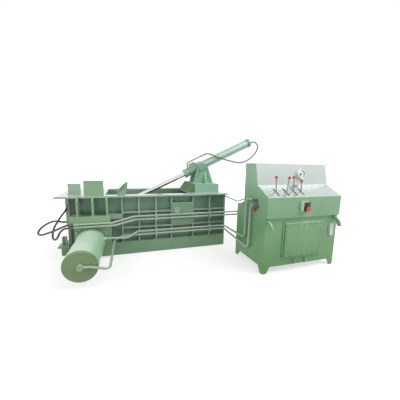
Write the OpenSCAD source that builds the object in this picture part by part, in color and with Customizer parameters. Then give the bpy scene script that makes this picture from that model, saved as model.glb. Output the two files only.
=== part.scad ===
// Hydraulic scrap baler: a ribbed press box with a swinging press lid, a side ram,
// a main ram and a lift gate, driven by a lever-operated power unit that stands beside it.
// Millimetres, +Z up. The origin is the middle of the press box underside.

/* [Press box] */
// Length of the press box
box_l = 2400; // [2320:10:2600]
// Width of the press box over its ribs
box_w = 960; // [920:10:1060]
// Height from the floor to the top of the rim plate
box_h = 860; // [840:5:930]
// Height of the base slab, which is also the chamber floor
floor_h = 100; // [80:2:104]
// Height of the base beams along the front and rear
base_h = 187; // [150:1:220]
// Thickness of the wall plates
wall_t = 25; // [16:1:32]
// Depth of the stiffening ribs
rib_d = 90; // [75:1:100]
// Thickness of the rib plates
rib_t = 20; // [12:1:28]
// Thickness of the rim plate round the top
rim_t = 25; // [16:1:32]
// Overhang of the rim plate past the ribs
rim_over = 30; // [10:1:40]
// Height of the upper row of ribs
upper_rib_z = 625; // [600:1:650]
// Height of the lower row of ribs
lower_rib_z = 405; // [390:1:430]
// Thickness of the deck plates over the rams
deck_t = 25; // [16:1:25]
// Height of the press chamber under the decks
chamber_h = 320; // [312:1:330]

/* [Side ram] */
// Distance of the side ram axis from the left end
side_pos = 413; // [400:1:430]
// Width of the side ram platen
platen_w = 320; // [300:1:330]
// Outside diameter of the side cylinder
side_d = 345; // [325:1:360]
// Bore of the side cylinder
side_bore = 280; // [250:1:290]
// Diameter of the side ram rod
side_rod_d = 200; // [160:1:220]
// Length of the side cylinder in front of its mounting plate
side_l = 795; // [760:1:820]
// Thickness of the side cylinder mounting plate
side_plate_t = 60; // [40:1:70]
// Width of the side cylinder mounting plate
side_plate_w = 524; // [500:1:540]
// Height of the heavy beam over the side cylinder
beam_h = 85; // [60:1:95]
// How far the beam and its gussets stand out in front of the ribs
beam_out = 110; // [90:1:120]
// Thickness of the gussets over the beam
gusset_t = 24; // [16:1:30]

/* [Main ram] */
// Height of the rams
ram_h = 295; // [280:1:300]
// Gap under the rams
ram_gap = 5; // [3:1:8]
// Length of the main ram
main_ram_l = 400; // [350:5:430]
// Distance of the drawn-back main ram face from the right end
main_face_pos = 1055; // [1040:1:1060]
// Outside diameter of the main cylinder
main_d = 210; // [200:1:220]
// Bore of the main cylinder
main_bore = 170; // [150:1:180]
// Diameter of the main ram rod
main_rod_d = 120; // [90:1:130]

/* [Gate] */
// Thickness of the gate plate
gate_t = 75; // [60:1:80]
// Outside diameter of the gate cylinder
gate_cyl_d = 63; // [55:1:70]
// Diameter of the gate rod
gate_rod_d = 36; // [28:1:40]
// Length of the gate cylinder
gate_cyl_l = 410; // [400:1:420]

/* [Lid] */
// Distance of the lid hinge from the right end
hinge_pos = 780; // [760:1:800]
// Height of the lid hinge over the deck plates
hinge_up = 155; // [140:1:165]
// Diameter of the lid hinge pin
hinge_d = 60; // [50:1:70]
// Reach from the hinge to the lug where the lid cylinder pulls
lug_reach = 720; // [690:5:740]
// Height of the lug pin above the hinge
lug_up = 95; // [80:1:105]
// Thickness of the lid bottom plate
lid_plate_t = 30; // [20:1:36]
// Thickness of the lid ribs
lid_rib_t = 30; // [20:1:34]
// Gap between the lid and the box walls
lid_gap = 15; // [8:1:20]

/* [Lid cylinder] */
// Distance of the cylinder trunnion from the right end
trunnion_pos = 300; // [290:1:320]
// Height of the trunnion over the box
trunnion_up = 409; // [400:1:430]
// Diameter of the trunnion pins
trunnion_d = 70; // [60:1:80]
// Outside diameter of the lid cylinder
lid_cyl_d = 140; // [130:1:146]
// Bore of the lid cylinder
lid_bore = 110; // [100:1:114]
// Diameter of the lid rod
lid_rod_d = 75; // [60:1:80]
// Length of the lid cylinder ahead of its trunnion
lid_cyl_front = 304; // [290:1:320]
// Length of the lid cylinder behind its trunnion
lid_cyl_rear = 1056; // [1020:1:1100]
// Height of the stand box that lifts the trunnion plates
stand_h = 138; // [120:1:150]
// Distance between the trunnion plates
stand_gap = 250; // [230:1:270]
// Thickness of the trunnion plates
stand_t = 25; // [20:1:32]

/* [Pipes] */
// Outside diameter of the main pipes
pipe_d = 28; // [22:1:30]
// Outside diameter of the thin lines
line_d = 16; // [12:1:18]
// Outside diameter of the hoses
hose_d = 25; // [20:1:28]
// Outside diameter of the lid hose
lid_hose_d = 18; // [14:1:18]
// Bend radius of the main pipes
pipe_bend = 62; // [50:1:66]

/* [Power unit] */
// Gap between the press box end and the power unit
unit_gap = 16; // [10:1:20]
// Width of the power unit
unit_w = 1112; // [1080:2:1160]
// Depth of the oil tank
tank_d = 697; // [680:1:740]
// Height of the legs under the tank
leg_h = 83; // [60:1:100]
// Height of the tank top
tank_h = 770; // [760:1:790]
// Sheet thickness of the tank and the console
sheet_t = 6; // [4:1:8]
// Height of the console top
console_h = 1336; // [1320:1:1380]
// Length of a lever above its pivot
lever_l = 246; // [230:1:260]
// Diameter of a lever rod
lever_d = 14; // [10:1:16]
// Diameter of a lever knob
knob_d = 36; // [30:1:40]
// Diameter of the pressure gauge
dial_d = 125; // [100:1:130]

/* [Hidden] */
$fn = 48;

// Enamel and metal colours
GREEN = [0.47, 0.63, 0.52];
DARK_GREEN = [0.36, 0.50, 0.43];
PALE = [0.84, 0.89, 0.87];
STEEL = [0.74, 0.75, 0.76];
DARK_STEEL = [0.36, 0.37, 0.38];
BLACK = [0.10, 0.10, 0.11];
RED = [0.80, 0.16, 0.16];

// Small gap between turning or sliding round faces
fit = 0.05;
slip = 0.3;

// Outer limits of the press box
xl = -box_l / 2;
xr = box_l / 2;
rib_y = box_w / 2;
wall_y = rib_y - rib_d;
inner_y = wall_y - wall_t;
rim_z = box_h - rim_t;
deck_z = floor_h + chamber_h;
deck_top = deck_z + deck_t;

// Ram height and the side ram throat through the front wall
ram_z0 = floor_h + ram_gap;
ram_z = ram_z0 + ram_h / 2;
ram_z1 = ram_z0 + ram_h;
side_x = xl + side_pos;
throat_x0 = side_x - platen_w / 2 - 5;
throat_x1 = side_x + platen_w / 2 + 5;
throat_z1 = ram_z1 + 10;
plate_y = -rib_y - side_plate_t;
cap_y = plate_y - side_l;

// Gate slot in the left posts
post_t = 20;
gate_x1 = throat_x0 - post_t - 1;
gate_x0 = gate_x1 - gate_t;
post_x0 = gate_x0 - 1 - post_t;
post_y = inner_y - 25;
gate_h = deck_z - ram_z0;
gate_cyl_x = gate_x0 - 54;
gate_cyl_y = -230;
gate_lug_z = 150;

// Opening over the chamber
cover_x = throat_x1 + 22;
ram_x = xr - main_face_pos;
stand_x0 = xr - 569;
stand_slope = 96;
stand_x1 = xr - 63;
stand_y = 343;
stand_top = box_h + stand_h;

// Upper rib of the bay over the lid hinge
hinge_rib_z = upper_rib_z + (rim_z - upper_rib_z) * 0.524;

// Ribs along the press box, the first three from the left end and the rest from the right
rib_xs = [xl + 809, xl + 1037, xl + 1278, xr - 889, xr - 550, xr - 278, xr - rib_t];

// Lid linkage: hinge, lug pin and trunnion
hinge_x = xr - hinge_pos;
hinge_z = deck_top + hinge_up;
lug_x = hinge_x - lug_reach;
lug_z = hinge_z + lug_up;
trunnion_x = xr - trunnion_pos;
trunnion_z = box_h + trunnion_up;
rod_a = atan2(trunnion_z - lug_z, trunnion_x - lug_x);
rod_reach = norm([trunnion_x - lug_x, trunnion_z - lug_z]);
lid_x0 = cover_x + 30;
lid_x1 = ram_x - 5;
lid_y = inner_y - lid_gap;
lid_top = hinge_z + 60;
tube_u = -lid_cyl_front + 104;
tube_y = -40;
tube_w = 156;
tube_end = 90;
tube_union_l = 60;
eye_w = 84;
eye_gap = 4;

// Side beam and gussets
beam_z0 = ram_z + side_d / 2 + 95;
beam_z1 = beam_z0 + beam_h;
beam_x0 = throat_x0 - 68;
beam_x1 = throat_x1 + 87;
beam_y = -rib_y - beam_out;
gusset_xs = [beam_x0 + 95, side_x + 44, beam_x1 - 35];

// Hose unions in front of the beam
hose_x = xl + 232;
hose_y = beam_y - 20;
hose_z = [beam_z0 - 9, beam_z0 - 47];
union_l = 60;

// Power unit outline
unit_x0 = xr + unit_gap;
unit_x1 = unit_x0 + unit_w;
tank_y1 = -rib_y - 393;
tank_y0 = tank_y1 - tank_d;
tank_seam = tank_h - 76;
tank_step_y = tank_y0 + 220;
front_y = tank_y0 - 25;
console_front_z = tank_seam + 250;
kink_y = front_y + 241;
kink_z = console_front_z + 128;
back_y = kink_y + 67;
console_y1 = tank_y1 - 182;
slope_a = atan2(kink_z - console_front_z, kink_y - front_y);
back_a = atan2(back_y - kink_y, console_h - kink_z);

// Place along the power unit as a share of its width
function along(share) = unit_x0 + unit_w * share;

// Levers: share of the way along the console, lean and length beside the standard lever
lever_shares = [0.159, 0.285, 0.396, 0.492];
lever_leans = [4, -10, 6, 2];
lever_cuts = [0, 0, 0, 46];
lever_y = front_y + 100;
lever_pivot_z = console_front_z - 14;
slot_l = 150;
slot_w = 22;

// Gauge, switch and hatch places on the power unit
dial_x = along(0.594);
dial_up = norm([console_h - kink_z, back_y - kink_y]) * 0.503;
dial_t = 34;
switch_x = along(0.467);
switch_z = tank_seam + 138;
switch_w = 96;
switch_h = 116;
switch_t = 52;
start_z = switch_z + 29;
stop_z = switch_z - 24;
hatch_x = along(0.505);
hatch_z = leg_h + (tank_seam - leg_h) * 0.535;
hatch_w = unit_w * 0.51;
hatch_h = (tank_seam - leg_h) * 0.704;
hatch_lip = 25;
frame_t = 12;
cover_t = 16;
motor_x = along(0.7);
motor_y = (back_y + console_y1) / 2 - 8;

// Pipe runs: height of each run and how far they stand in front of the ribs
run_y = -rib_y - 30;
gate_run_z = [560, 512];
side_run_z = [338, 290];
drop_x = unit_x0 - 40;

// Ports and entries that the pipes and hoses run to
gate_port_x = xl + 64;
gate_port_z = rim_z - gate_cyl_l + 40;
gate_top_y = gate_cyl_y - gate_cyl_d / 2 - 12;
gate_top_z = rim_z - 100;
port_x = side_x + side_d / 2 + 26;
port_z = ram_z + 47;
feed_d = 64;
feed_l = feed_d / 2 + 20;
feed_x = side_x + side_d / 2 + 118;
entry_z = [tank_h + 112, tank_h + 46];
entry_y = [front_y + 250, front_y + 225];
line_y = -rib_y + 120;
line_z = rim_z - 45;

// A block between two corners
module slab(x, y, z) {
    translate([x[0], y[0], z[0]])
        cube([x[1] - x[0], y[1] - y[0], z[1] - z[0]]);
}

// A profile drawn in X and Z, pushed along Y
module plate_xz(y0, y1) {
    translate([0, y1, 0])
        rotate([90, 0, 0])
            linear_extrude(y1 - y0)
                children();
}

// A profile drawn in Y and Z, pushed along X
module plate_yz(x0, x1) {
    translate([x0, 0, 0])
        rotate([90, 0, 90])
            linear_extrude(x1 - x0)
                children();
}

// A round bar along Y
module bar_y(x, z, y0, y1, d) {
    translate([x, y1, z])
        rotate([90, 0, 0])
            cylinder(d = d, h = y1 - y0);
}

// A round bar along X
module bar_x(y, z, x0, x1, d) {
    translate([x0, y, z])
        rotate([0, 90, 0])
            cylinder(d = d, h = x1 - x0);
}

// Unit vector
function unit(v) = v / norm(v);

// Points round the corner a-b-c of a bent pipe
function corner(a, b, c, r, steps) =
    let (
        t1 = unit(b - a),
        t2 = unit(c - b),
        turn = acos(t1 * t2),
        m = unit(t2 - t1 * (t1 * t2)),
        o = b - t1 * r * tan(turn / 2) + m * r
    )
    [for (k = [0 : steps]) o + (t1 * sin(turn * k / steps) - m * cos(turn * k / steps)) * r];
function rounded(pts, r, steps) = concat(
    [pts[0]],
    [for (i = [1 : len(pts) - 2]) each corner(pts[i - 1], pts[i], pts[i + 1], r, steps)],
    [pts[len(pts) - 1]]);

// A smooth curve through hand-placed points, straight from each end to the next point
function curve_point(a, b, c, d, t) =
    0.5 * (2 * b + (c - a) * t + (2 * a - 5 * b + 4 * c - d) * t * t
    + (3 * b - a - 3 * c + d) * t * t * t);
function curve(pts, steps) = concat(
    [pts[0]],
    [for (i = [1 : len(pts) - 3]) for (k = [0 : steps - 1])
        curve_point(pts[i - 1], pts[i], pts[i + 1], pts[i + 2], k / steps)],
    [pts[len(pts) - 2], pts[len(pts) - 1]]);
function heading(path, i) =
    let (
        before = i == 0 ? [0, 0, 0] : unit(path[i] - path[i - 1]),
        after = i == len(path) - 1 ? [0, 0, 0] : unit(path[i + 1] - path[i])
    )
    unit(before + after);
function sides(path, i, n) =
    i == len(path) ? []
    : let (h = heading(path, i), m = unit(n - h * (n * h)))
        concat([m], sides(path, i + 1, m));

// A round tube swept along a path, with count flats round it
module sweep(path, d, count, across) {
    side = sides(path, 0, across);
    rings = len(path);
    verts = [for (i = [0 : rings - 1]) for (k = [0 : count - 1])
        let (a = 360 * k / count, up = cross(heading(path, i), side[i]))
        path[i] + (side[i] * cos(a) + up * sin(a)) * d / 2];
    walls = [for (i = [0 : rings - 2]) for (k = [0 : count - 1])
        let (j = (k + 1) % count)
        [i * count + k, (i + 1) * count + k, (i + 1) * count + j, i * count + j]];
    ends = [[for (k = [0 : count - 1]) k],
        [for (k = [count - 1 : -1 : 0]) (rings - 1) * count + k]];
    polyhedron(points = verts, faces = concat(walls, ends));
}

// A bent pipe through the corners in pts
module pipe(pts, d, r) {
    sweep(rounded(pts, r, 6), d, 12, [0.3, 0.2, 1]);
}

// A hose along a smooth curve
module hose(pts, d) {
    sweep(curve(pts, 2), d, 10, [0, 1, 0]);
}

// Frame of the lid cylinder: +X runs back along the barrel from the trunnion
module on_lid_cylinder() {
    translate([trunnion_x, 0, trunnion_z])
        rotate([0, -rod_a, 0])
            children();
}

// Frame of a lever: +Z runs up the lever from its pivot
module on_lever(i) {
    translate([along(lever_shares[i]), lever_y, lever_pivot_z])
        rotate([-lever_leans[i], 0, 0])
            children();
}

// Frame of the gauge: +Z points out of the dial
module on_dial() {
    translate([dial_x, kink_y, kink_z])
        rotate([90 - back_a, 0, 0])
            translate([0, dial_up, 0])
                children();
}

// Routes of the gate hoses, from the unions to the ports
gate_hose_a_pts = [
    [hose_x, hose_y, hose_z[1]], [hose_x - 60, hose_y, hose_z[1]], [-1082, -592, 460],
    [-1127, -556, 425], [-1165, -511, 371], [-1203, -465, 305], [-1253, -398, 270],
    [-1285, -336, 281], [-1296, -285, 328], [-1279, -254, 406], [-1234, -256, 482],
    [-1187, -263, 556], [-1138, -269, 622], [-1111, -273, 671],
    [gate_cyl_x, gate_top_y, gate_top_z - 30], [gate_cyl_x, gate_top_y, gate_top_z]
];
gate_hose_b_pts = [
    [hose_x, hose_y, hose_z[0]], [hose_x - 60, hose_y, hose_z[0]], [-1091, -604, 492],
    [-1156, -572, 458], [-1226, -520, 420], [-1301, -469, 386], [-1384, -422, 354],
    [-1437, -363, 353], [-1455, -305, 369], [-1441, -250, 399], [-1398, -212, 434],
    [-1322, -201, 471], [-1253, -212, 479], [-1200, -226, 470],
    [gate_port_x - 34, gate_cyl_y, gate_port_z], [gate_port_x, gate_cyl_y, gate_port_z]
];

// Route of the lid hose in the frame of the lid cylinder
cap_port_w = -12;
cap_port_l = 14;
lid_hose_pts = [
    [lid_cyl_rear + cap_port_l, tube_y, cap_port_w],
    [lid_cyl_rear + cap_port_l + 27, tube_y, cap_port_w], [1127, -41, -21], [1151, -44, -38],
    [1168, -49, -62], [1175, -55, -91], [1171, -62, -122], [1155, -69, -151], [1126, -76, -175],
    [1076, -84, -206], [985, -93, -243], [880, -101, -260], [775, -108, -257], [668, -113, -222],
    [565, -113, -152], [456, -106, -70], [358, -88, 18], [292, -62, 88], [240, -46, 134],
    [tube_end + tube_union_l + 36, tube_y, tube_w], [tube_end + tube_union_l, tube_y, tube_w]
];

// Base slab, side beams and the corner shelf with its upright channel
module base_frame() {
    color(DARK_GREEN) {
        notch_x = post_x0 + 15;
        notch_y = -rib_y + 157;
        linear_extrude(floor_h)
            polygon([
                [xl, notch_y], [notch_x, notch_y], [notch_x, -rib_y],
                [xr, -rib_y], [xr, rib_y], [xl, rib_y]
            ]);
        slab([throat_x1 + post_t, xr], [-rib_y, -wall_y], [floor_h, base_h]);
        slab([xl, xr], [wall_y, rib_y], [floor_h, base_h]);
        slab([xl, post_x0], [notch_y, notch_y + 17], [floor_h, base_h]);
        slab([xl, post_x0], [-rib_y, notch_y], [base_h - 22, base_h]);
        slab([xl + 42, xl + 98], [-wall_y, -wall_y + 12], [base_h, base_h + 118]);
        for (x = [xl + 42, xl + 86])
            slab([x, x + 12], [-wall_y - 34, -wall_y], [base_h, base_h + 118]);
    }
}

// Vertical and horizontal ribs on one long wall, drawn on the front side
module long_ribs() {
    last = len(rib_xs) - 1;
    for (x = rib_xs)
        slab([x, x + rib_t], [-rib_y, -wall_y], [base_h, rim_z]);
    for (i = [0 : last - 1]) {
        bay = [rib_xs[i] + rib_t, rib_xs[i + 1]];
        top = i == 3 ? hinge_rib_z : upper_rib_z;
        slab(bay, [-rib_y, -wall_y], [top - rib_t, top]);
        slab(bay, [-rib_y, -wall_y], [lower_rib_z - rib_t, lower_rib_z]);
    }
}

// Front wall with the side ram throat and its ribs
module front_wall() {
    color(GREEN) {
        difference() {
            union() {
                slab([throat_x0, xr], [-wall_y, -inner_y], [floor_h, rim_z]);
                long_ribs();
                slab([throat_x1, throat_x1 + post_t], [-rib_y, -wall_y], [floor_h, throat_z1]);
                slab([throat_x0 - post_t, throat_x0], [-rib_y, -wall_y], [floor_h, throat_z1]);
                slab([throat_x0 - post_t, throat_x1 + post_t], [-rib_y, -wall_y],
                    [throat_z1, throat_z1 + post_t]);
                slab([beam_x1, rib_xs[0]], [-rib_y - 30, -wall_y], [beam_z1 - 68, beam_z1]);
            }
            slab([throat_x0 - 1, throat_x1], [-wall_y - 1, -inner_y + 1], [floor_h - 1, throat_z1]);
            bar_y(hinge_x, hinge_z, -rib_y - 1, -inner_y + 1, hinge_d + 2 * fit);
        }
    }
}

// Rear wall, ribbed like the front
module rear_wall() {
    color(GREEN)
        difference() {
            union() {
                slab([throat_x0, xr], [inner_y, wall_y], [floor_h, rim_z]);
                mirror([0, 1, 0])
                    long_ribs();
            }
            bar_y(hinge_x, hinge_z, inner_y - 1, rib_y + 1, hinge_d + 2 * fit);
        }
}

// End wall that takes the push of the main cylinder
module right_end_wall() {
    color(GREEN)
        slab([xr - wall_t, xr], [-inner_y, inner_y], [floor_h, rim_z]);
}

// Rim plate round the loading opening
module top_rim() {
    color(GREEN)
        difference() {
            slab([xl, xr + rim_over], [-rib_y - rim_over, rib_y + rim_over], [rim_z, box_h]);
            slab([cover_x, stand_x0], [-inner_y, inner_y], [rim_z - 1, box_h + 1]);
        }
}

// Two slotted posts that guide the gate, the front one open, with a plate across over the outlet
module gate_frame() {
    slot_x = [gate_x0 - 1, gate_x1 + 1];
    color(DARK_GREEN)
        difference() {
            union() {
                for (side = [0, 1])
                    mirror([0, side, 0])
                        slab([post_x0, throat_x0], [-wall_y, -post_y], [floor_h, rim_z]);
                slab([gate_x0 - 11, gate_x0 - 1], [-post_y, post_y], [deck_z + 5, rim_z]);
            }
            slab(slot_x, [-inner_y, inner_y], [floor_h - 1, rim_z + 1]);
            slab(slot_x, [-wall_y - 1, -inner_y + 1], [base_h, rim_z - 20]);
        }
}

// Fixed ceiling over the side ram
module left_cover() {
    color(GREEN) {
        slab([throat_x0, cover_x], [-inner_y, inner_y], [deck_z, deck_top]);
        slab([cover_x - deck_t, cover_x], [-inner_y, inner_y], [deck_top, rim_z]);
    }
}

// Deck over the main ram
module ram_deck() {
    color(DARK_GREEN)
        slab([ram_x, xr - wall_t], [-inner_y, inner_y], [deck_z, deck_top]);
}

// Heavy beam over the side cylinder with three gussets up to the rim
module side_beam() {
    color(GREEN) {
        slab([beam_x0, beam_x1], [beam_y, -wall_y], [beam_z0, beam_z1]);
        for (x = gusset_xs)
            plate_yz(x - gusset_t / 2, x + gusset_t / 2)
                difference() {
                    polygon([
                        [beam_y, beam_z1], [-wall_y, beam_z1], [-wall_y, rim_z],
                        [-rib_y - rim_over, rim_z], [-rib_y - rim_over, box_h - 12],
                        [beam_y + 30, box_h - 12], [beam_y, box_h - 50]
                    ]);
                    translate([-wall_y, (beam_z1 + rim_z) / 2])
                        circle(r = (rim_z - beam_z1) * 0.2);
                }
    }
}

// Upright guard plate on the front rim
module front_guard() {
    guard_x = xl + 347;
    color(GREEN) {
        slab([guard_x, guard_x + 243], [-rib_y + 10, -rib_y + 22], [box_h, box_h + 205]);
        for (x = [guard_x + 40, guard_x + 190])
            plate_yz(x, x + 12)
                polygon([
                    [-rib_y + 22, box_h], [-rib_y + 92, box_h], [-rib_y + 22, box_h + 130]
                ]);
    }
}

// Smaller guard plate with a folded foot and a folded edge
module left_guard() {
    guard_x = xl + 115;
    guard_y = -rib_y + 232;
    color(PALE) {
        slab([guard_x, guard_x + 155], [guard_y, guard_y + 10], [box_h, box_h + 146]);
        slab([guard_x, guard_x + 155], [guard_y - 45, guard_y], [box_h, box_h + 10]);
        slab([guard_x + 145, guard_x + 155], [guard_y + 10, guard_y + 60], [box_h, box_h + 146]);
    }
}

// Two leaning cheeks that guide scrap into the opening, joined by an end plate
module guide_horn() {
    horn_x = xl + 760;
    color(GREEN) {
        plate_xz(-rib_y + 4, -rib_y + 16)
            polygon([
                [horn_x, box_h], [horn_x + 104, box_h], [horn_x + 132, box_h + 78],
                [horn_x + 143, box_h + 182], [horn_x + 90, box_h + 95], [horn_x, box_h + 17]
            ]);
        plate_xz(-rib_y + 62, -rib_y + 74)
            polygon([
                [horn_x, box_h], [horn_x + 104, box_h], [horn_x + 132, box_h + 78],
                [horn_x + 143, box_h + 182], [horn_x + 110, box_h + 177],
                [horn_x + 48, box_h + 118], [horn_x, box_h + 62]
            ]);
        plate_xz(-rib_y + 16, -rib_y + 62)
            polygon([
                [horn_x + 92, box_h], [horn_x + 104, box_h], [horn_x + 132, box_h + 78],
                [horn_x + 140, box_h + 154], [horn_x + 120, box_h + 80]
            ]);
    }
}

// Flush cover over the lid hinge pin, with a raised ring
module access_cover() {
    cover_x0 = rib_xs[3] + rib_t / 2;
    cover_x1 = rib_xs[4] + rib_t / 2;
    ring_x = cover_x0 + 84;
    ring_z = gate_run_z[0] + pipe_d / 2 + 48;
    color(GREEN) {
        slab([cover_x0, cover_x1], [-rib_y - 10, -rib_y],
            [lower_rib_z + 4, hinge_rib_z - 10]);
        difference() {
            bar_y(ring_x, ring_z, -rib_y - 24, -rib_y - 10, 84);
            bar_y(ring_x, ring_z, -rib_y - 25, -rib_y - 16, 54);
        }
    }
}

// Box that lifts the trunnion plates, with a sloping face toward the lid
module stand_base() {
    color(GREEN)
        plate_xz(-stand_y, stand_y)
            polygon([
                [stand_x0, box_h], [stand_x1, box_h], [stand_x1, stand_top],
                [stand_x0 + stand_slope, stand_top]
            ]);
}

// Pair of trunnion plates with outside gussets
module stand_plates() {
    foot_x0 = trunnion_x - 135;
    foot_x1 = trunnion_x + 208;
    gusset_x = trunnion_x + 48;
    outer = stand_gap / 2 + stand_t;
    color(GREEN)
        for (side = [0, 1])
            mirror([0, side, 0]) {
                difference() {
                    plate_xz(stand_gap / 2, outer)
                        union() {
                            polygon([
                                [foot_x0, stand_top], [foot_x1, stand_top],
                                [trunnion_x + 102, trunnion_z + 20],
                                [trunnion_x - 68, trunnion_z + 20]
                            ]);
                            translate([trunnion_x, trunnion_z])
                                circle(d = trunnion_d + 76);
                        }
                    bar_y(trunnion_x, trunnion_z, stand_gap / 2 - 1, outer + 1,
                        trunnion_d + 2 * fit);
                }
                plate_yz(gusset_x, gusset_x + 20)
                    polygon([
                        [outer, stand_top], [outer + 90, stand_top],
                        [outer, trunnion_z - 90]
                    ]);
            }
}

// Caps that close the trunnion bearings
module trunnion_caps() {
    outer = stand_gap / 2 + stand_t;
    color(DARK_GREEN)
        for (side = [0, 1])
            mirror([0, side, 0]) {
                bar_y(trunnion_x, trunnion_z, outer, outer + 14, trunnion_d + 50);
                for (a = [45 : 90 : 315])
                    bar_y(trunnion_x + (trunnion_d / 2 + 14) * cos(a),
                        trunnion_z + (trunnion_d / 2 + 14) * sin(a),
                        outer + 14, outer + 20, 14);
            }
}

// Pin that carries the lid, from wall to wall
module lid_hinge_pin() {
    color(STEEL)
        bar_y(hinge_x, hinge_z, -wall_y - 20, wall_y + 20, hinge_d);
}

// Side cylinder tube with its closed end and feed boss
module side_barrel() {
    color(DARK_GREEN) {
        difference() {
            union() {
                bar_y(side_x, ram_z, cap_y + 14, plate_y, side_d);
                bar_y(side_x, ram_z, cap_y, cap_y + 14, side_d - 26);
                bar_y(side_x, ram_z, plate_y - 46, plate_y, side_d + 18);
                bar_x(plate_y - 70, port_z, side_x + side_d / 2 - 50, port_x, pipe_d + 14);
            }
            bar_y(side_x, ram_z, cap_y + 34, plate_y - 80, side_bore);
            bar_y(side_x, ram_z, plate_y - 81, plate_y + 1, side_rod_d + 2 * slip);
        }
        bar_y(side_x, ram_z, cap_y - 34, cap_y, feed_d);
        bar_x(cap_y - 17, ram_z, side_x, side_x + feed_l, pipe_d + 4);
    }
}

// Square plate that bolts the side cylinder to the throat
module side_flange() {
    color(GREEN)
        difference() {
            slab([throat_x0 - post_t - 8, side_x + side_plate_w / 2], [plate_y, -rib_y],
                [ram_z - 222, ram_z + 222]);
            bar_y(side_x, ram_z, plate_y - 1, -rib_y + 1, side_rod_d + 2 * slip);
        }
}

// Bolt heads round the side cylinder
module flange_bolts() {
    ring = side_d / 2 + 42;
    color(DARK_STEEL)
        for (a = [-50, -18, 26, 40, 54, 126, 140, 220, 234])
            translate([side_x + ring * cos(a), plate_y, ram_z + ring * sin(a)])
                rotate([90, 0, 0])
                    cylinder(d = 32, h = 20, $fn = 6);
}

// Main cylinder behind the main ram, fixed to the end wall
module main_barrel() {
    barrel_x0 = ram_x + 105;
    color(DARK_STEEL)
        difference() {
            union() {
                bar_x(0, ram_z, barrel_x0, xr - wall_t - 40, main_d);
                slab([xr - wall_t - 40, xr - wall_t], [-150, 150], [ram_z - 140, ram_z + 140]);
            }
            bar_x(0, ram_z, barrel_x0 + 60, xr - wall_t - 95, main_bore);
            bar_x(0, ram_z, barrel_x0 - 1, barrel_x0 + 61, main_rod_d + 2 * slip);
        }
}

// Upright gate cylinder hung from the rim, with its two hose ports
module gate_barrel() {
    top = rim_z;
    low = top - gate_cyl_l;
    color(PALE) {
        difference() {
            translate([gate_cyl_x, gate_cyl_y, low])
                cylinder(d = gate_cyl_d, h = gate_cyl_l);
            translate([gate_cyl_x, gate_cyl_y, low + 40])
                cylinder(d = gate_cyl_d - 13, h = gate_cyl_l - 70);
            translate([gate_cyl_x, gate_cyl_y, low - 1])
                cylinder(d = gate_rod_d + 2 * slip, h = 42);
        }
        bar_x(gate_cyl_y, gate_port_z, gate_port_x, gate_cyl_x - gate_cyl_d / 2 + 3, 24);
        slab([gate_cyl_x - 18, gate_cyl_x + 18],
            [gate_top_y - 18, gate_cyl_y - gate_cyl_d / 2 + 4], [gate_top_z, gate_top_z + 40]);
    }
}

// Pair of pipes from the console along the front to the gate hoses
module gate_pipes() {
    back_x = [along(0.291), along(0.363)];
    back_z = [tank_h + 110, tank_h + 60];
    color(STEEL)
        for (k = [0, 1])
            pipe([
                [hose_x + union_l, hose_y, hose_z[k]],
                [beam_x1 + 30 + 25 * k, hose_y, hose_z[k]],
                [rib_xs[0] + 166 + 15 * k, run_y, gate_run_z[k]],
                [back_x[k], run_y, gate_run_z[k]],
                [back_x[k], tank_y1 + 80, gate_run_z[k]],
                [back_x[k], tank_y1 + 80, back_z[k]],
                [back_x[k], console_y1, back_z[k]]
            ], pipe_d, pipe_bend);
}

// Pipes of the side cylinder, one to each end of it
module side_pipes() {
    port_y = plate_y - 70;
    feed_y = cap_y - 17;
    rise_y = [front_y + 415, front_y + 312];
    low_z = [350, 236];
    color(STEEL) {
        pipe([
            [port_x, port_y, port_z], [port_x + 60, port_y, port_z],
            [rib_xs[0] + 73, run_y - 65, port_z - 22],
            [rib_xs[1] - 15, run_y, side_run_z[0]], [drop_x, run_y, side_run_z[0]],
            [drop_x, rise_y[0], low_z[0]], [drop_x, rise_y[0], entry_z[0]],
            [drop_x, entry_y[0], entry_z[0]]
        ], pipe_d, pipe_bend);
        pipe([
            [side_x + feed_l, feed_y, ram_z], [side_x + feed_l + 40, feed_y, ram_z],
            [feed_x - 9, feed_y, ram_z - 47], [feed_x + 6, run_y - 45, ram_z],
            [rib_xs[0] + 20, run_y, side_run_z[1]], [drop_x, run_y, side_run_z[1]],
            [drop_x, rise_y[1], low_z[1]], [drop_x, rise_y[1], entry_z[1]],
            [drop_x, entry_y[1], entry_z[1]]
        ], pipe_d, pipe_bend);
    }
}

// Thin line from the end of the press box to the console
module lid_line() {
    color(STEEL)
        pipe([
            [xr + 18, line_y, line_z], [xr + 62, line_y, line_z],
            [xr + 62, tank_y1 + 70, line_z - 15], [along(0.117), tank_y1 + 70, tank_h + 44],
            [along(0.117), console_y1, tank_h + 44]
        ], line_d, 36);
}

// Clamps on the ribs, hose unions and the elbows into the console
module pipe_fittings() {
    color(DARK_STEEL)
        for (i = [2, 5])
            for (zs = [gate_run_z, side_run_z])
                difference() {
                    slab([rib_xs[i] - 4, rib_xs[i] + rib_t + 4], [run_y - pipe_d / 2 - 6, -rib_y],
                        [zs[1] - 26, zs[0] + 26]);
                    for (z = zs)
                        bar_x(run_y, z, rib_xs[i] - 5, rib_xs[i] + rib_t + 5, pipe_d);
                }
    color(STEEL) {
        for (k = [0, 1]) {
            bar_x(hose_y, hose_z[k], hose_x, hose_x + union_l, pipe_d + 8);
            slab([drop_x - 22, unit_x0], [entry_y[k] - 44, entry_y[k]],
                [entry_z[k] - 22, entry_z[k] + 22]);
        }
        bar_x(line_y, line_z, xr, xr + 18, line_d + 12);
    }
}

// Hoses from the pipe ends to the gate cylinder
module gate_hose_a() {
    color(BLACK)
        hose(gate_hose_a_pts, hose_d);
}

module gate_hose_b() {
    color(BLACK)
        hose(gate_hose_b_pts, hose_d);
}

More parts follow.
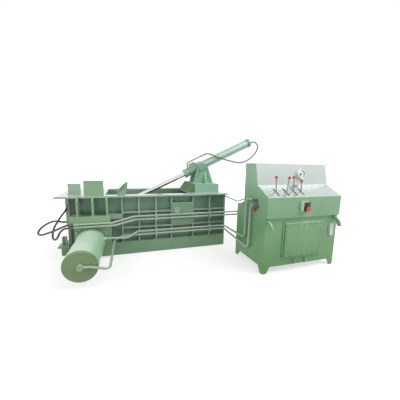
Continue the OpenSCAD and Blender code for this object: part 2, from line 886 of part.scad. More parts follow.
// Side outline of the tank, inset by a sheet thickness for its hollow
module tank_outline(inset) {
    polygon([
        [tank_y0 + inset, leg_h + inset], [tank_y0 + inset, tank_seam - inset],
        [tank_step_y + inset / 4, tank_h - inset], [tank_y1 - inset, tank_h - inset],
        [tank_y1 - inset, leg_h + inset]
    ]);
}

// A horn to lift the tank by, bent out and down from the front sheet
module lifting_horn(x) {
    translate([x, tank_y0, tank_seam - 130])
        rotate([90, 0, 90])
            linear_extrude(26)
                difference() {
                    intersection() {
                        circle(r = 118);
                        translate([-118, 0])
                            square([118, 118]);
                    }
                    translate([8, -10])
                        circle(r = 82);
                }
}

// Oil tank: a sheet shell with a framed hatch opening and two lifting horns
module tank() {
    color(GREEN) {
        difference() {
            union() {
                plate_yz(unit_x0, unit_x1)
                    tank_outline(0);
                slab([hatch_x - hatch_w / 2 - hatch_lip, hatch_x + hatch_w / 2 + hatch_lip],
                    [tank_y0 - frame_t, tank_y0],
                    [hatch_z - hatch_h / 2 - hatch_lip, hatch_z + hatch_h / 2 + hatch_lip]);
            }
            plate_yz(unit_x0 + sheet_t, unit_x1 - sheet_t)
                tank_outline(sheet_t);
            slab([hatch_x - hatch_w / 2 + 40, hatch_x + hatch_w / 2 - 40],
                [tank_y0 - frame_t - 1, tank_y0 + sheet_t + 1],
                [hatch_z - hatch_h / 2 + 40, hatch_z + hatch_h / 2 - 40]);
        }
        lifting_horn(unit_x0 + 8);
        lifting_horn(unit_x1 - 80);
    }
}

// Outline of one side of an angle leg, narrower at the foot
module leg_outline() {
    polygon([
        [0, 0], [56, 0], [100, leg_h], [0, leg_h]
    ]);
}

// Four angle legs
module tank_legs() {
    leg_t = 10;
    color(GREEN)
        for (i = [0, 1])
            for (j = [0, 1])
                translate([i == 0 ? unit_x0 : unit_x1, j == 0 ? tank_y0 : tank_y1, 0])
                    mirror([i, 0, 0])
                        mirror([0, j, 0]) {
                            plate_xz(0, leg_t)
                                leg_outline();
                            plate_yz(0, leg_t)
                                leg_outline();
                        }
}

// Cover over the tank hatch
module hatch_cover() {
    color(GREEN)
        slab([hatch_x - hatch_w / 2, hatch_x + hatch_w / 2],
            [tank_y0 - frame_t - cover_t, tank_y0 - frame_t],
            [hatch_z - hatch_h / 2, hatch_z + hatch_h / 2]);
}

// Bolt heads round the hatch cover
module hatch_bolts() {
    across = 6;
    down = 5;
    w = hatch_w - 44;
    h = hatch_h - 44;
    color(STEEL)
        for (i = [0 : across])
            for (j = [0 : down])
                if (i == 0 || i == across || j == 0 || j == down)
                    translate([hatch_x - w / 2 + w * i / across, tank_y0 - frame_t - cover_t,
                        hatch_z - h / 2 + h * j / down])
                        rotate([90, 0, 0])
                            cylinder(d = 20, h = 9, $fn = 6);
}

// Oil level sight gauge
module level_gauge() {
    gauge_x = unit_x1 - 100;
    gauge_z = tank_seam - 192;
    color(PALE)
        plate_xz(tank_y0 - 24, tank_y0)
            union() {
                translate([gauge_x - 26, gauge_z - 58])
                    square([52, 116]);
                for (z = [gauge_z - 58, gauge_z + 58])
                    translate([gauge_x, z])
                        circle(r = 26);
            }
}

// Drain plugs low on the tank front
module drain_plugs() {
    color(STEEL)
        for (x = [along(0.414), along(0.568)]) {
            bar_y(x, leg_h + 41, tank_y0 - 14, tank_y0, 44);
            translate([x, tank_y0 - 14, leg_h + 41])
                rotate([90, 0, 0])
                    cylinder(d = 30, h = 16, $fn = 6);
        }
}

// Filler cap on the tank top and a plug on the console side
module tank_caps() {
    color(RED) {
        translate([unit_x0 + 58, tank_y1 - 110, tank_h])
            cylinder(d = 80, h = 30);
        bar_x(front_y + 255, tank_seam + 72, unit_x0 - 22, unit_x0, 52);
    }
}

// Side outline of the console above the tank seam
module console_outline() {
    polygon([
        [front_y, tank_seam], [front_y, console_front_z], [kink_y, kink_z],
        [back_y, console_h], [console_y1, console_h], [console_y1, tank_h],
        [tank_step_y, tank_h], [tank_y0, tank_seam]
    ]);
}

// Hollow of the console, open below and where the lever panel lies
module console_hollow() {
    polygon([
        [front_y + sheet_t, console_h * 2], [back_y, console_h * 2],
        [back_y, console_h - sheet_t], [console_y1 - sheet_t, console_h - sheet_t],
        [console_y1 - sheet_t, tank_h - 100], [front_y + sheet_t, tank_h - 100]
    ]);
}

// Console shell: two cheeks, front, top and rear sheet
module console() {
    color(GREEN)
        difference() {
            plate_yz(unit_x0, unit_x1)
                console_outline();
            plate_yz(unit_x0 + sheet_t, unit_x1 - sheet_t)
                console_hollow();
        }
}

// Polished folded panel with the lever slots
module lever_panel() {
    panel_t = sheet_t;
    color(PALE)
        difference() {
            plate_yz(unit_x0 + sheet_t, unit_x1 - sheet_t)
                polygon([
                    [front_y + sheet_t, console_front_z + sheet_t * tan(slope_a)],
                    [kink_y, kink_z], [back_y, console_h],
                    [back_y, console_h - sheet_t], [back_y + panel_t, console_h - sheet_t],
                    [kink_y + panel_t, kink_z - panel_t],
                    [front_y + sheet_t, console_front_z + sheet_t * tan(slope_a) - panel_t * 1.3]
                ]);
            for (i = [0 : 3])
                translate([along(lever_shares[i]), lever_y, console_front_z + 100 * tan(slope_a)])
                    rotate([slope_a, 0, 0])
                        translate([-slot_w / 2, -slot_l / 2, -30])
                            cube([slot_w, slot_l, 60]);
        }
}

// Valve block on the tank with the lever shaft in its brackets
module valve_block() {
    block_x0 = along(lever_shares[0]) - 60;
    block_x1 = along(lever_shares[3]) + 60;
    block_y0 = tank_y0 + 20;
    block_y1 = tank_y0 + 150;
    block_top = lever_pivot_z - 50;
    seam_at = (tank_h - tank_seam) / (tank_step_y - tank_y0);
    color(DARK_STEEL) {
        plate_yz(block_x0, block_x1)
            polygon([
                [block_y0, tank_seam + 20 * seam_at], [block_y1, tank_seam + 150 * seam_at],
                [block_y1, block_top], [block_y0, block_top]
            ]);
        for (x = [block_x0 + 10, block_x1 - 22])
            slab([x, x + 12], [lever_y - 16, lever_y + 16], [block_top - 10, lever_pivot_z + 16]);
        bar_x(lever_y, lever_pivot_z, block_x0 + 12, block_x1 - 12, 12);
    }
}

// One lever: eye, rod and round knob
module lever(i) {
    length = lever_l - lever_cuts[i];
    on_lever(i) {
        color(STEEL)
            difference() {
                union() {
                    cylinder(d = lever_d, h = length);
                    bar_x(0, 0, -10, 10, 30);
                }
                bar_x(0, 0, -11, 11, 12 + 2 * fit);
            }
        color(RED)
            translate([0, 0, length])
                sphere(d = knob_d);
    }
}

module lever_1() {
    lever(0);
}

module lever_2() {
    lever(1);
}

module lever_3() {
    lever(2);
}

module lever_4() {
    lever(3);
}

// Pressure gauge case with a sunk dial and a spindle
module gauge_case() {
    color(PALE)
        on_dial() {
            difference() {
                cylinder(d = dial_d, h = dial_t);
                translate([0, 0, dial_t - 12])
                    cylinder(d = dial_d - 12, h = 13);
            }
            translate([0, 0, dial_t - 12])
                cylinder(d = 5, h = 5);
        }
}

// Needle of the pressure gauge
module gauge_needle() {
    color(BLACK)
        on_dial()
            translate([0, 0, dial_t - 10])
                difference() {
                    union() {
                        cylinder(d = 14, h = 2.5);
                        linear_extrude(2.5)
                            polygon([
                                [-34, -34], [-5, 4], [4, -5]
                            ]);
                    }
                    translate([0, 0, -1])
                        cylinder(d = 5 + 2 * fit, h = 5);
                }
}

// Switch box on the console front
module button_box() {
    color(PALE)
        difference() {
            slab([switch_x - switch_w / 2, switch_x + switch_w / 2], [front_y - switch_t, front_y],
                [switch_z - switch_h / 2, switch_z + switch_h / 2]);
            for (z = [start_z, stop_z])
                bar_y(switch_x, z, front_y - switch_t - 1, front_y - 12, 30 + 2 * slip);
        }
}

// Push buttons: a short start button over a wide-headed stop button
module start_button() {
    color(BLACK)
        bar_y(switch_x, start_z, front_y - switch_t - 10, front_y - 22, 30);
}

module stop_button() {
    color(RED) {
        bar_y(switch_x, stop_z, front_y - switch_t - 12, front_y - 22, 30);
        bar_y(switch_x, stop_z, front_y - switch_t - 26, front_y - switch_t - 12, 60);
    }
}

// Electric motor under the console, standing on the tank
module pump_motor() {
    motor_h = console_h - tank_h - 260;
    color(DARK_STEEL)
        translate([motor_x, motor_y, tank_h]) {
            cylinder(d = 200, h = 16);
            cylinder(d = 170, h = motor_h + 1);
            translate([0, 0, motor_h])
                cylinder(d = 176, h = 60);
        }
}

// Oil pump hung under the tank top, below the motor
module oil_pump() {
    color(DARK_STEEL)
        translate([motor_x, motor_y, tank_h - sheet_t - 260]) {
            cylinder(d = 110, h = 60);
            translate([0, 0, 60])
                cylinder(d = 150, h = 200);
        }
}

// Side outline of a lid rib, from the press end to the hinge eye
module lid_rib_outline() {
    polygon([
        [lid_x0, deck_z + lid_plate_t], [lid_x0, lid_top - 70], [lid_x0 + 60, lid_top],
        [hinge_x, lid_top + 10], [hinge_x, hinge_z - 70], [lid_x1, deck_top + 25],
        [lid_x1, deck_z + lid_plate_t]
    ]);
    translate([hinge_x, hinge_z])
        circle(r = 70);
}

// Press lid: bottom plate, long ribs that reach to the hinge, and the pulling lugs
module lid() {
    lug_y = eye_w / 2 + eye_gap;
    outer_y = lid_y - 90;
    color(GREEN) {
        difference() {
            union() {
                slab([lid_x0, lid_x1], [-lid_y, lid_y], [deck_z, deck_z + lid_plate_t]);
                for (y = [-outer_y, -lug_y - lid_rib_t, lug_y, outer_y - lid_rib_t])
                    plate_xz(y, y + lid_rib_t)
                        lid_rib_outline();
                for (x = [lid_x0 + 40, lid_x1 - 70])
                    slab([x, x + 25], [-lid_y, lid_y],
                        [deck_z + lid_plate_t, lid_top - 70]);
                for (y = [-lug_y - lid_rib_t, lug_y])
                    plate_xz(y, y + lid_rib_t)
                        union() {
                            translate([lug_x, lug_z])
                                circle(r = 62);
                            polygon([
                                [lug_x - 100, lid_top - 5], [lug_x + 100, lid_top - 5],
                                [lug_x + 61, lug_z + 10], [lug_x - 61, lug_z + 10]
                            ]);
                        }
            }
            bar_y(hinge_x, hinge_z, -inner_y, inner_y, hinge_d + 2 * fit);
            slab([lug_x - 90, lug_x + 90], [-lug_y, lug_y], [deck_z + lid_plate_t, box_h]);
        }
        for (side = [0, 1])
            mirror([0, side, 0])
                bar_y(lug_x, lug_z, lug_y + lid_rib_t, lug_y + lid_rib_t + 12, 84);
    }
}

// Lid cylinder tube with its trunnion ring
module lid_barrel() {
    color(GREEN)
        on_lid_cylinder()
            difference() {
                union() {
                    bar_x(0, 0, -lid_cyl_front + 70, lid_cyl_rear - 56, lid_cyl_d);
                    bar_x(0, 0, -52, 52, lid_cyl_d + 30);
                    bar_y(0, 0, -stand_gap / 2 - stand_t + 1, stand_gap / 2 + stand_t - 1,
                        trunnion_d);
                    bar_y(0, 0, -stand_gap / 2 + 3, stand_gap / 2 - 3, trunnion_d + 30);
                }
                bar_x(0, 0, -lid_cyl_front, lid_cyl_rear, lid_bore);
            }
}

// Front head of the lid cylinder, which seals the rod
module lid_gland() {
    color(DARK_GREEN)
        on_lid_cylinder()
            difference() {
                union() {
                    bar_x(0, 0, -lid_cyl_front, -lid_cyl_front + 70, lid_cyl_d + 10);
                    bar_x(0, 0, -lid_cyl_front + 70, -lid_cyl_front + 110, lid_bore);
                }
                bar_x(0, 0, -lid_cyl_front - 1, -lid_cyl_front + 111, lid_rod_d + 2 * slip);
            }
}

// Rear cap of the lid cylinder with its hose port
module lid_end_cap() {
    color(DARK_GREEN)
        on_lid_cylinder() {
            bar_x(0, 0, lid_cyl_rear - 56, lid_cyl_rear, lid_cyl_d + 6);
            bar_x(tube_y, cap_port_w, lid_cyl_rear - 10, lid_cyl_rear + cap_port_l, lid_hose_d + 8);
        }
}

// Valve block saddled on the lid cylinder, tube boss and hose union
module lid_valve_block() {
    color(DARK_STEEL)
        on_lid_cylinder() {
            difference() {
                union() {
                    slab([-168, -60], [-45, 45], [lid_cyl_d / 2 - 12, lid_cyl_d / 2 + 50]);
                    translate([tube_u, tube_y, lid_cyl_d / 4])
                        cylinder(d = line_d + 14, h = lid_cyl_d / 4 + 14);
                }
                bar_x(0, 0, -lid_cyl_front, 0, lid_cyl_d);
            }
            bar_x(tube_y, tube_w, tube_end, tube_end + tube_union_l, lid_hose_d + 8);
        }
}

// Steel tube from the hose end over the barrel to the front head
module lid_tube() {
    color(STEEL)
        on_lid_cylinder()
            pipe([
                [tube_end, tube_y, tube_w], [tube_u, tube_y, tube_w],
                [tube_u, tube_y, lid_cyl_d / 2 + 14]
            ], line_d, 60);
}

// Hose from the rear cap to the steel tube
module lid_hose() {
    color(BLACK)
        on_lid_cylinder()
            hose(lid_hose_pts, lid_hose_d);
}

// Lid rod with its piston and eye
module lid_rod() {
    color(STEEL)
        on_lid_cylinder() {
            bar_x(0, 0, -rod_reach + 40, -lid_cyl_front + 124, lid_rod_d);
            bar_x(0, 0, -lid_cyl_front + 124, -lid_cyl_front + 184, lid_bore - 2 * slip);
            bar_y(-rod_reach, 0, -eye_w / 2, eye_w / 2, 124);
            bar_y(-rod_reach, 0, -eye_w / 2 - eye_gap + 1, eye_w / 2 + eye_gap - 1, 60);
        }
}

// Side ram: platen, rod and piston
module side_ram() {
    color(DARK_STEEL)
        slab([side_x - platen_w / 2, side_x + platen_w / 2], [-rib_y + 2, -inner_y],
            [ram_z0, ram_z1]);
    color(STEEL) {
        bar_y(side_x, ram_z, plate_y - 480, -rib_y + 2, side_rod_d);
        bar_y(side_x, ram_z, plate_y - 530, plate_y - 480, side_bore - 2 * slip);
    }
}

// Main ram: a box that slides over its cylinder, with rod and piston
module main_ram() {
    ram_y = inner_y - 20;
    shell = 22;
    piston_x = xr - wall_t - 140;
    color(DARK_STEEL)
        difference() {
            slab([ram_x, ram_x + main_ram_l], [-ram_y, ram_y], [ram_z0, ram_z1]);
            slab([ram_x + 40, ram_x + main_ram_l + 1], [-ram_y + shell, ram_y - shell],
                [ram_z0 + shell, ram_z1 - shell]);
        }
    color(STEEL) {
        bar_x(0, ram_z, ram_x + 40, piston_x, main_rod_d);
        bar_x(0, ram_z, piston_x, piston_x + 40, main_bore - 2 * slip);
    }
}

// Gate plate with the lug and rod that lift it
module gate() {
    gate_y = inner_y - 2;
    rod_top = rim_z - gate_cyl_l + 60;
    color(DARK_GREEN) {
        slab([gate_x0, gate_x1], [-gate_y, gate_y], [ram_z0, deck_z]);
        slab([gate_cyl_x - 32, gate_x0], [gate_cyl_y - 32, gate_cyl_y + 32],
            [gate_lug_z - 36, gate_lug_z]);
    }
    color(STEEL) {
        translate([gate_cyl_x, gate_cyl_y, gate_lug_z])
            cylinder(d = gate_rod_d, h = rod_top - gate_lug_z);
        translate([gate_cyl_x, gate_cyl_y, rod_top])
            cylinder(d = gate_cyl_d - 13 - 2 * slip, h = 24);
    }
}

base_frame();
front_wall();
rear_wall();
right_end_wall();
top_rim();
gate_frame();
left_cover();
ram_deck();
side_beam();
front_guard();
left_guard();
guide_horn();
access_cover();
stand_base();
stand_plates();
trunnion_caps();
lid_hinge_pin();
side_barrel();
side_flange();
flange_bolts();
main_barrel();
gate_barrel();
gate_pipes();
side_pipes();
lid_line();
pipe_fittings();
gate_hose_a();
gate_hose_b();
tank();
tank_legs();
hatch_cover();
hatch_bolts();
level_gauge();
drain_plugs();
tank_caps();
console();
lever_panel();
valve_block();
gauge_case();
button_box();
pump_motor();
oil_pump();
lid();
lid_barrel();
lid_gland();
lid_end_cap();
lid_valve_block();
lid_tube();
lid_hose();
lid_rod();
side_ram();
main_ram();
gate();
lever_1();
lever_2();
lever_3();
lever_4();
gauge_needle();
start_button();
stop_button();
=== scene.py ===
# %% [markdown]
# # A hydraulic scrap baler
# The solids of the press box, the lid cylinder and the power unit come in as a finished frame.
# This lesson dresses that frame: it lays hoses and pipes along their routes, runs weld beads
# along the ribs, draws the gauge, and gives each surface its enamel, steel, rubber or plastic.
# Everything is in metres, with the origin in the middle of the underside of the press box.

import math

import bmesh
import bpy
from mathutils import Matrix, Vector


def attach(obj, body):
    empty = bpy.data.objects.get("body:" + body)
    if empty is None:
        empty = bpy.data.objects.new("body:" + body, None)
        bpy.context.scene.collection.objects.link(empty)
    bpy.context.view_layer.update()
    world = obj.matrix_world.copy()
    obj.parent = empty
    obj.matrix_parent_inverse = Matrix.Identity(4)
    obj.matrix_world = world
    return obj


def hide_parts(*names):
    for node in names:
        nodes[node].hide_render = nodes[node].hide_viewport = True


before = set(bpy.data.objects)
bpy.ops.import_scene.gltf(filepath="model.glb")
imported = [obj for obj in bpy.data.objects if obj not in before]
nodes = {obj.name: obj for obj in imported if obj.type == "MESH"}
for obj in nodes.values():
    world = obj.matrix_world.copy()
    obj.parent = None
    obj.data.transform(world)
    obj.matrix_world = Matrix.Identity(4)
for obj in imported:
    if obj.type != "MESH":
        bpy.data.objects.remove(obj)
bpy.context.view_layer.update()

# %% [markdown]
# ## Camera
# The picture was taken by a person standing in front of the side cylinder, with a wide lens.
# The pose below was solved from the long straight edges of the machine, so the render can be
# laid over the picture. A camera looks along its own -Z, so the matrix takes the right, up and
# backward directions as its columns.

# %% Camera
CAMERA_PLACE = Vector((-0.323, -3.7146, 1.3038))
CAMERA_YAW = 0.3254
CAMERA_PITCH = -0.1575
CAMERA_ROLL = 0.0214
IMAGE_SIDE = 400
FOCAL_PIXELS = 221.67
SENSOR = 36.0
FAR_CLIP = 200

forward = Vector((
    math.sin(CAMERA_YAW) * math.cos(CAMERA_PITCH),
    math.cos(CAMERA_YAW) * math.cos(CAMERA_PITCH),
    math.sin(CAMERA_PITCH),
))
level = Vector((math.cos(CAMERA_YAW), -math.sin(CAMERA_YAW), 0))
above = level.cross(forward)
right = level * math.cos(CAMERA_ROLL) + above * math.sin(CAMERA_ROLL)
up = above * math.cos(CAMERA_ROLL) - level * math.sin(CAMERA_ROLL)

camera = bpy.data.objects.new("camera", bpy.data.cameras.new("camera"))
bpy.context.scene.collection.objects.link(camera)
camera.data.sensor_fit = "HORIZONTAL"
camera.data.sensor_width = SENSOR
camera.data.lens = FOCAL_PIXELS / IMAGE_SIDE * SENSOR
camera.data.clip_end = FAR_CLIP
camera_turn = Matrix((right, up, -forward)).transposed().to_4x4()
camera.matrix_world = Matrix.Translation(CAMERA_PLACE) @ camera_turn
bpy.context.scene.camera = camera
print("camera: lens", round(camera.data.lens, 2), "mm")

# %% [markdown]
# ## Hoses
# Rubber hoses join the fixed pipes to the parts that move. A hose of this kind is stiff, so it
# lies in one smooth loop and leaves each fitting straight. A curve object with a round bevel is
# the natural tool: its line is the middle of the hose. The route points are the same as those
# of the solids, and a Catmull-Rom curve passes through them all.

# %% Smooth route
HOSE_D = 0.025


def smooth_route(points, steps=8):
    """Points along a Catmull-Rom curve that is straight from each end to the next point."""
    pts = [Vector(p) for p in points]
    line = [pts[0]]
    for i in range(1, len(pts) - 2):
        a, b, c, d = pts[i - 1 : i + 3]
        for k in range(steps):
            t = k / steps
            bend = (2 * a - 5 * b + 4 * c - d) * t * t + (3 * b - a - 3 * c + d) * t**3
            line.append(0.5 * (2 * b + (c - a) * t + bend))
    return line + pts[-2:]


def route_length(line):
    """Length of a route in metres."""
    return sum((b - a).length for a, b in zip(line, line[1:]))


def tube(name, routes, diameter, roundness=5):
    """A curve object with a round section along each route, as thick as its points' radius."""
    data = bpy.data.curves.new(name, "CURVE")
    data.dimensions = "3D"
    data.bevel_depth = 1.0
    data.bevel_resolution = roundness
    data.use_fill_caps = True
    for line in routes:
        spline = data.splines.new("POLY")
        spline.points.add(len(line) - 1)
        for point, place in zip(spline.points, line):
            point.co = (*place, 1)
            point.radius = diameter / 2
        spline.use_smooth = True
    obj = bpy.data.objects.new(name, data)
    bpy.context.scene.collection.objects.link(obj)
    return obj


# %% [markdown]
# Each hose end is held by a crimped steel sleeve. One profile turned round the hose makes it:
# a plain collar, then two pressed grooves. Turning a profile keeps the grooves truly round.

# %% Turned pieces and hose sleeves
SLEEVE_PROFILE = [
    (0.0, 0.0127), (0.0, 0.0158), (0.004, 0.0166), (0.014, 0.0166), (0.017, 0.0154), (0.022, 0.0154),
    (0.025, 0.0166), (0.031, 0.0166), (0.034, 0.0154), (0.039, 0.0154), (0.042, 0.0166), (0.050, 0.0166),
    (0.053, 0.0156), (0.053, 0.0127),
]


def new_mesh(name, bm, smooth=True):
    """A mesh object from a bmesh."""
    bmesh.ops.recalc_face_normals(bm, faces=bm.faces)
    data = bpy.data.meshes.new(name)
    bm.to_mesh(data)
    bm.free()
    for face in data.polygons:
        face.use_smooth = smooth
    obj = bpy.data.objects.new(name, data)
    bpy.context.scene.collection.objects.link(obj)
    return obj


def axis_matrix(place, direction):
    """A frame at place with +Z along direction."""
    turn = Vector((0, 0, 1)).rotation_difference(Vector(direction)).to_matrix().to_4x4()
    return Matrix.Translation(Vector(place)) @ turn


def add_ring(bm, matrix, radius, height, count):
    """Adds a ring of points round +Z of matrix."""
    ring = []
    for k in range(count):
        a = 2 * math.pi * k / count
        ring.append(bm.verts.new(matrix @ Vector((radius * math.cos(a), radius * math.sin(a), height))))
    return ring


def join_rings(bm, low, high):
    """Adds the faces between two rings."""
    count = len(low)
    for k in range(count):
        j = (k + 1) % count
        bm.faces.new((low[k], low[j], high[j], high[k]))


def turn_profile(bm, profile, matrix, count=24):
    """Adds a closed ring profile of (height, radius) pairs, turned round +Z of matrix."""
    rings = [add_ring(bm, matrix, radius, height, count) for height, radius in profile]
    for low, high in zip(rings, rings[1:] + rings[:1]):
        join_rings(bm, low, high)


def hose_sleeves(name, line, body, diameter):
    """A crimped sleeve at each end of a hose, in step with its diameter."""
    bm = bmesh.new()
    step = Matrix.Scale(diameter / HOSE_D, 4)
    for end, after in ((line[0], line[1]), (line[-1], line[-2])):
        turn_profile(bm, SLEEVE_PROFILE, axis_matrix(end, after - end) @ step)
    obj = new_mesh(name, bm)
    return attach(obj, body)


# %% Gate hoses
UNION = Vector((-0.968, -0.610, 0.0))
UNION_HEIGHTS = (0.511, 0.473)
UNION_REACH = 0.060
GATE_TOP_PORT = Vector((-1.102, -0.2735, 0.735))
GATE_LOW_PORT = Vector((-1.136, -0.230, 0.465))
TOP_PORT_LEAD = 0.030
LOW_PORT_LEAD = 0.034

gate_hose_a_points = [
    (UNION.x, UNION.y, UNION_HEIGHTS[1]), (UNION.x - UNION_REACH, UNION.y, UNION_HEIGHTS[1]),
    (-1.082, -0.592, 0.460), (-1.127, -0.556, 0.425), (-1.165, -0.511, 0.371), (-1.203, -0.465, 0.305),
    (-1.253, -0.398, 0.270), (-1.285, -0.336, 0.281), (-1.296, -0.285, 0.328), (-1.279, -0.254, 0.406),
    (-1.234, -0.256, 0.482), (-1.187, -0.263, 0.556), (-1.138, -0.269, 0.622), (-1.111, -0.273, 0.671),
    (GATE_TOP_PORT.x, GATE_TOP_PORT.y, GATE_TOP_PORT.z - TOP_PORT_LEAD), tuple(GATE_TOP_PORT),
]
gate_hose_b_points = [
    (UNION.x, UNION.y, UNION_HEIGHTS[0]), (UNION.x - UNION_REACH, UNION.y, UNION_HEIGHTS[0]),
    (-1.091, -0.604, 0.492), (-1.156, -0.572, 0.458), (-1.226, -0.520, 0.420), (-1.301, -0.469, 0.386),
    (-1.384, -0.422, 0.354), (-1.437, -0.363, 0.353), (-1.455, -0.305, 0.369), (-1.441, -0.250, 0.399),
    (-1.398, -0.212, 0.434), (-1.322, -0.201, 0.471), (-1.253, -0.212, 0.479), (-1.200, -0.226, 0.470),
    (GATE_LOW_PORT.x - LOW_PORT_LEAD, GATE_LOW_PORT.y, GATE_LOW_PORT.z), tuple(GATE_LOW_PORT),
]


def lay_hose(node, points, body, diameter=HOSE_D):
    """Lays a hose over its plain solid, with a sleeve at each end."""
    line = smooth_route(points)
    obj = tube(node + "_cover", [line], diameter)
    sleeves = hose_sleeves(node + "_sleeves", line, body, diameter)
    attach(obj, body)
    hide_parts(node)
    print(node, "is", round(route_length(line), 3), "m long")
    return obj, sleeves


hoses = [
    lay_hose("gate_hose_a", gate_hose_a_points, "root"),
    lay_hose("gate_hose_b", gate_hose_b_points, "root"),
]

# %% [markdown]
# The lid hose swings with the lid cylinder, so its points are written in the frame of that
# cylinder. The first number runs back along the barrel from the trunnion, the second goes to the
# rear, and the third points up from the barrel. A matrix takes them to the frame of the machine.

# %% Lid hose
LUG_PIN = Vector((-0.300, 0.0, 0.695))
TRUNNION = Vector((0.900, 0.0, 1.269))
TUBE_PLACE = (-0.040, 0.156)
TUBE_END = 0.090
TUBE_UNION_L = 0.060
TUBE_LEAD = 0.036
CAP_PORT = (1.070, -0.040, -0.012)
CAP_LEAD = 0.027
LID_HOSE_D = 0.018

along_rod = (TRUNNION - LUG_PIN).normalized()
rod_angle = math.atan2(along_rod.z, along_rod.x)
lid_cylinder = Matrix.Translation(TRUNNION) @ Matrix.Rotation(-rod_angle, 4, "Y")
lid_hose_points = [
    CAP_PORT, (CAP_PORT[0] + CAP_LEAD, *CAP_PORT[1:]),
    (1.127, -0.041, -0.021), (1.151, -0.044, -0.038), (1.168, -0.049, -0.062), (1.175, -0.055, -0.091),
    (1.171, -0.062, -0.122), (1.155, -0.069, -0.151), (1.126, -0.076, -0.175), (1.076, -0.084, -0.206),
    (0.985, -0.093, -0.243), (0.880, -0.101, -0.260), (0.775, -0.108, -0.257), (0.668, -0.113, -0.222),
    (0.565, -0.113, -0.152), (0.456, -0.106, -0.070), (0.358, -0.088, 0.018), (0.292, -0.062, 0.088),
    (0.240, -0.046, 0.134),
    (TUBE_END + TUBE_UNION_L + TUBE_LEAD, *TUBE_PLACE), (TUBE_END + TUBE_UNION_L, *TUBE_PLACE),
]
lid_hose_places = [lid_cylinder @ Vector(p) for p in lid_hose_points]
hoses.append(lay_hose("lid_hose", lid_hose_places, "lid_cylinder", LID_HOSE_D))

# %% [markdown]
# ## Pipes
# The oil runs in seamless steel pipes that were bent cold round a former, so all corners of one
# pipe have the same radius. The solids have flat sides to keep them light; here each route
# becomes a smooth tube with true arcs at its corners, laid exactly over the solid.

# %% Bent pipes
PIPE_D = 0.028
LINE_D = 0.016
PIPE_BEND = 0.062
LINE_BEND = 0.036
PIPE_ROUNDNESS = 6


def bent_route(points, radius, steps=10):
    """The route through points with an arc of that radius at each corner."""
    pts = [Vector(p) for p in points]
    line = [pts[0]]
    for a, b, c in zip(pts, pts[1:], pts[2:]):
        t1, t2 = (b - a).normalized(), (c - b).normalized()
        turn = t1.angle(t2)
        inward = (t2 - t1 * t1.dot(t2)).normalized()
        middle = b - t1 * radius * math.tan(turn / 2) + inward * radius
        for k in range(steps + 1):
            s = turn * k / steps
            line.append(middle + (t1 * math.sin(s) - inward * math.cos(s)) * radius)
    return line + [pts[-1]]


def lay_pipes(node, routes, diameter, radius, body):
    """Smooth pipes over the flat-sided solids of a node."""
    obj = tube(node + "_smooth", [bent_route(r, radius) for r in routes], diameter, PIPE_ROUNDNESS)
    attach(obj, body)
    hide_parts(node)
    print(node, "as", len(routes), "smooth routes")
    return obj


# %% Places that the pipes run to
RIGHT_END = 1.200
UNIT_X0 = 1.216
UNIT_W = 1.112
RIB_XS = [-0.391, -0.163, 0.078, 0.311, 0.650, 0.922, 1.180]
RUN_Y = -0.510
GATE_RUN_HEIGHTS = (0.560, 0.512)
SIDE_RUN_HEIGHTS = (0.338, 0.290)
BEAM_X1 = -0.535
TANK_Y1 = -0.873
CONSOLE_Y1 = -1.055
TANK_H = 0.770
FRONT_Y = -1.595
DROP_X = UNIT_X0 - 0.040
SIDE_X = -0.787
SIDE_R = 0.1725
RAM_Z = 0.2525
PLATE_Y = -0.540
CAP_Y = -1.335


def along_unit(share):
    """Place along the power unit as a share of its width."""
    return UNIT_X0 + UNIT_W * share


# %% Gate pipes
BACK_SHARES = (0.291, 0.363)
BACK_RISES = (0.110, 0.060)
BACK_GAP = 0.080
FIRST_BENDS = (BEAM_X1 + 0.030, BEAM_X1 + 0.055)
SECOND_BENDS = (RIB_XS[0] + 0.166, RIB_XS[0] + 0.181)


def gate_pipe(k):
    """Route of one gate pipe, from its hose union to the back of the console."""
    back_x = along_unit(BACK_SHARES[k])
    back_y = TANK_Y1 + BACK_GAP
    back_z = TANK_H + BACK_RISES[k]
    run = GATE_RUN_HEIGHTS[k]
    return [
        (UNION.x + UNION_REACH, UNION.y, UNION_HEIGHTS[k]), (FIRST_BENDS[k], UNION.y, UNION_HEIGHTS[k]),
        (SECOND_BENDS[k], RUN_Y, run), (back_x, RUN_Y, run), (back_x, back_y, run),
        (back_x, back_y, back_z), (back_x, CONSOLE_Y1, back_z),
    ]


pipes = [lay_pipes("gate_pipes", [gate_pipe(0), gate_pipe(1)], PIPE_D, PIPE_BEND, "root")]

# %% Side cylinder pipes
PORT = Vector((SIDE_X + SIDE_R + 0.026, PLATE_Y - 0.070, RAM_Z + 0.047))
FEED_X = SIDE_X + SIDE_R + 0.118
ENTRY_HEIGHTS = (TANK_H + 0.112, TANK_H + 0.046)
ENTRY_YS = (FRONT_Y + 0.250, FRONT_Y + 0.225)
RISE_YS = (FRONT_Y + 0.415, FRONT_Y + 0.312)
LOW_HEIGHTS = (0.350, 0.236)
PORT_LEAD = 0.060
CAP_PIPE_Y = CAP_Y - 0.017


def console_end(k):
    """The last corners of a side pipe: along the box, down to the power unit and up its side."""
    return [
        (DROP_X, RUN_Y, SIDE_RUN_HEIGHTS[k]), (DROP_X, RISE_YS[k], LOW_HEIGHTS[k]),
        (DROP_X, RISE_YS[k], ENTRY_HEIGHTS[k]), (DROP_X, ENTRY_YS[k], ENTRY_HEIGHTS[k]),
    ]


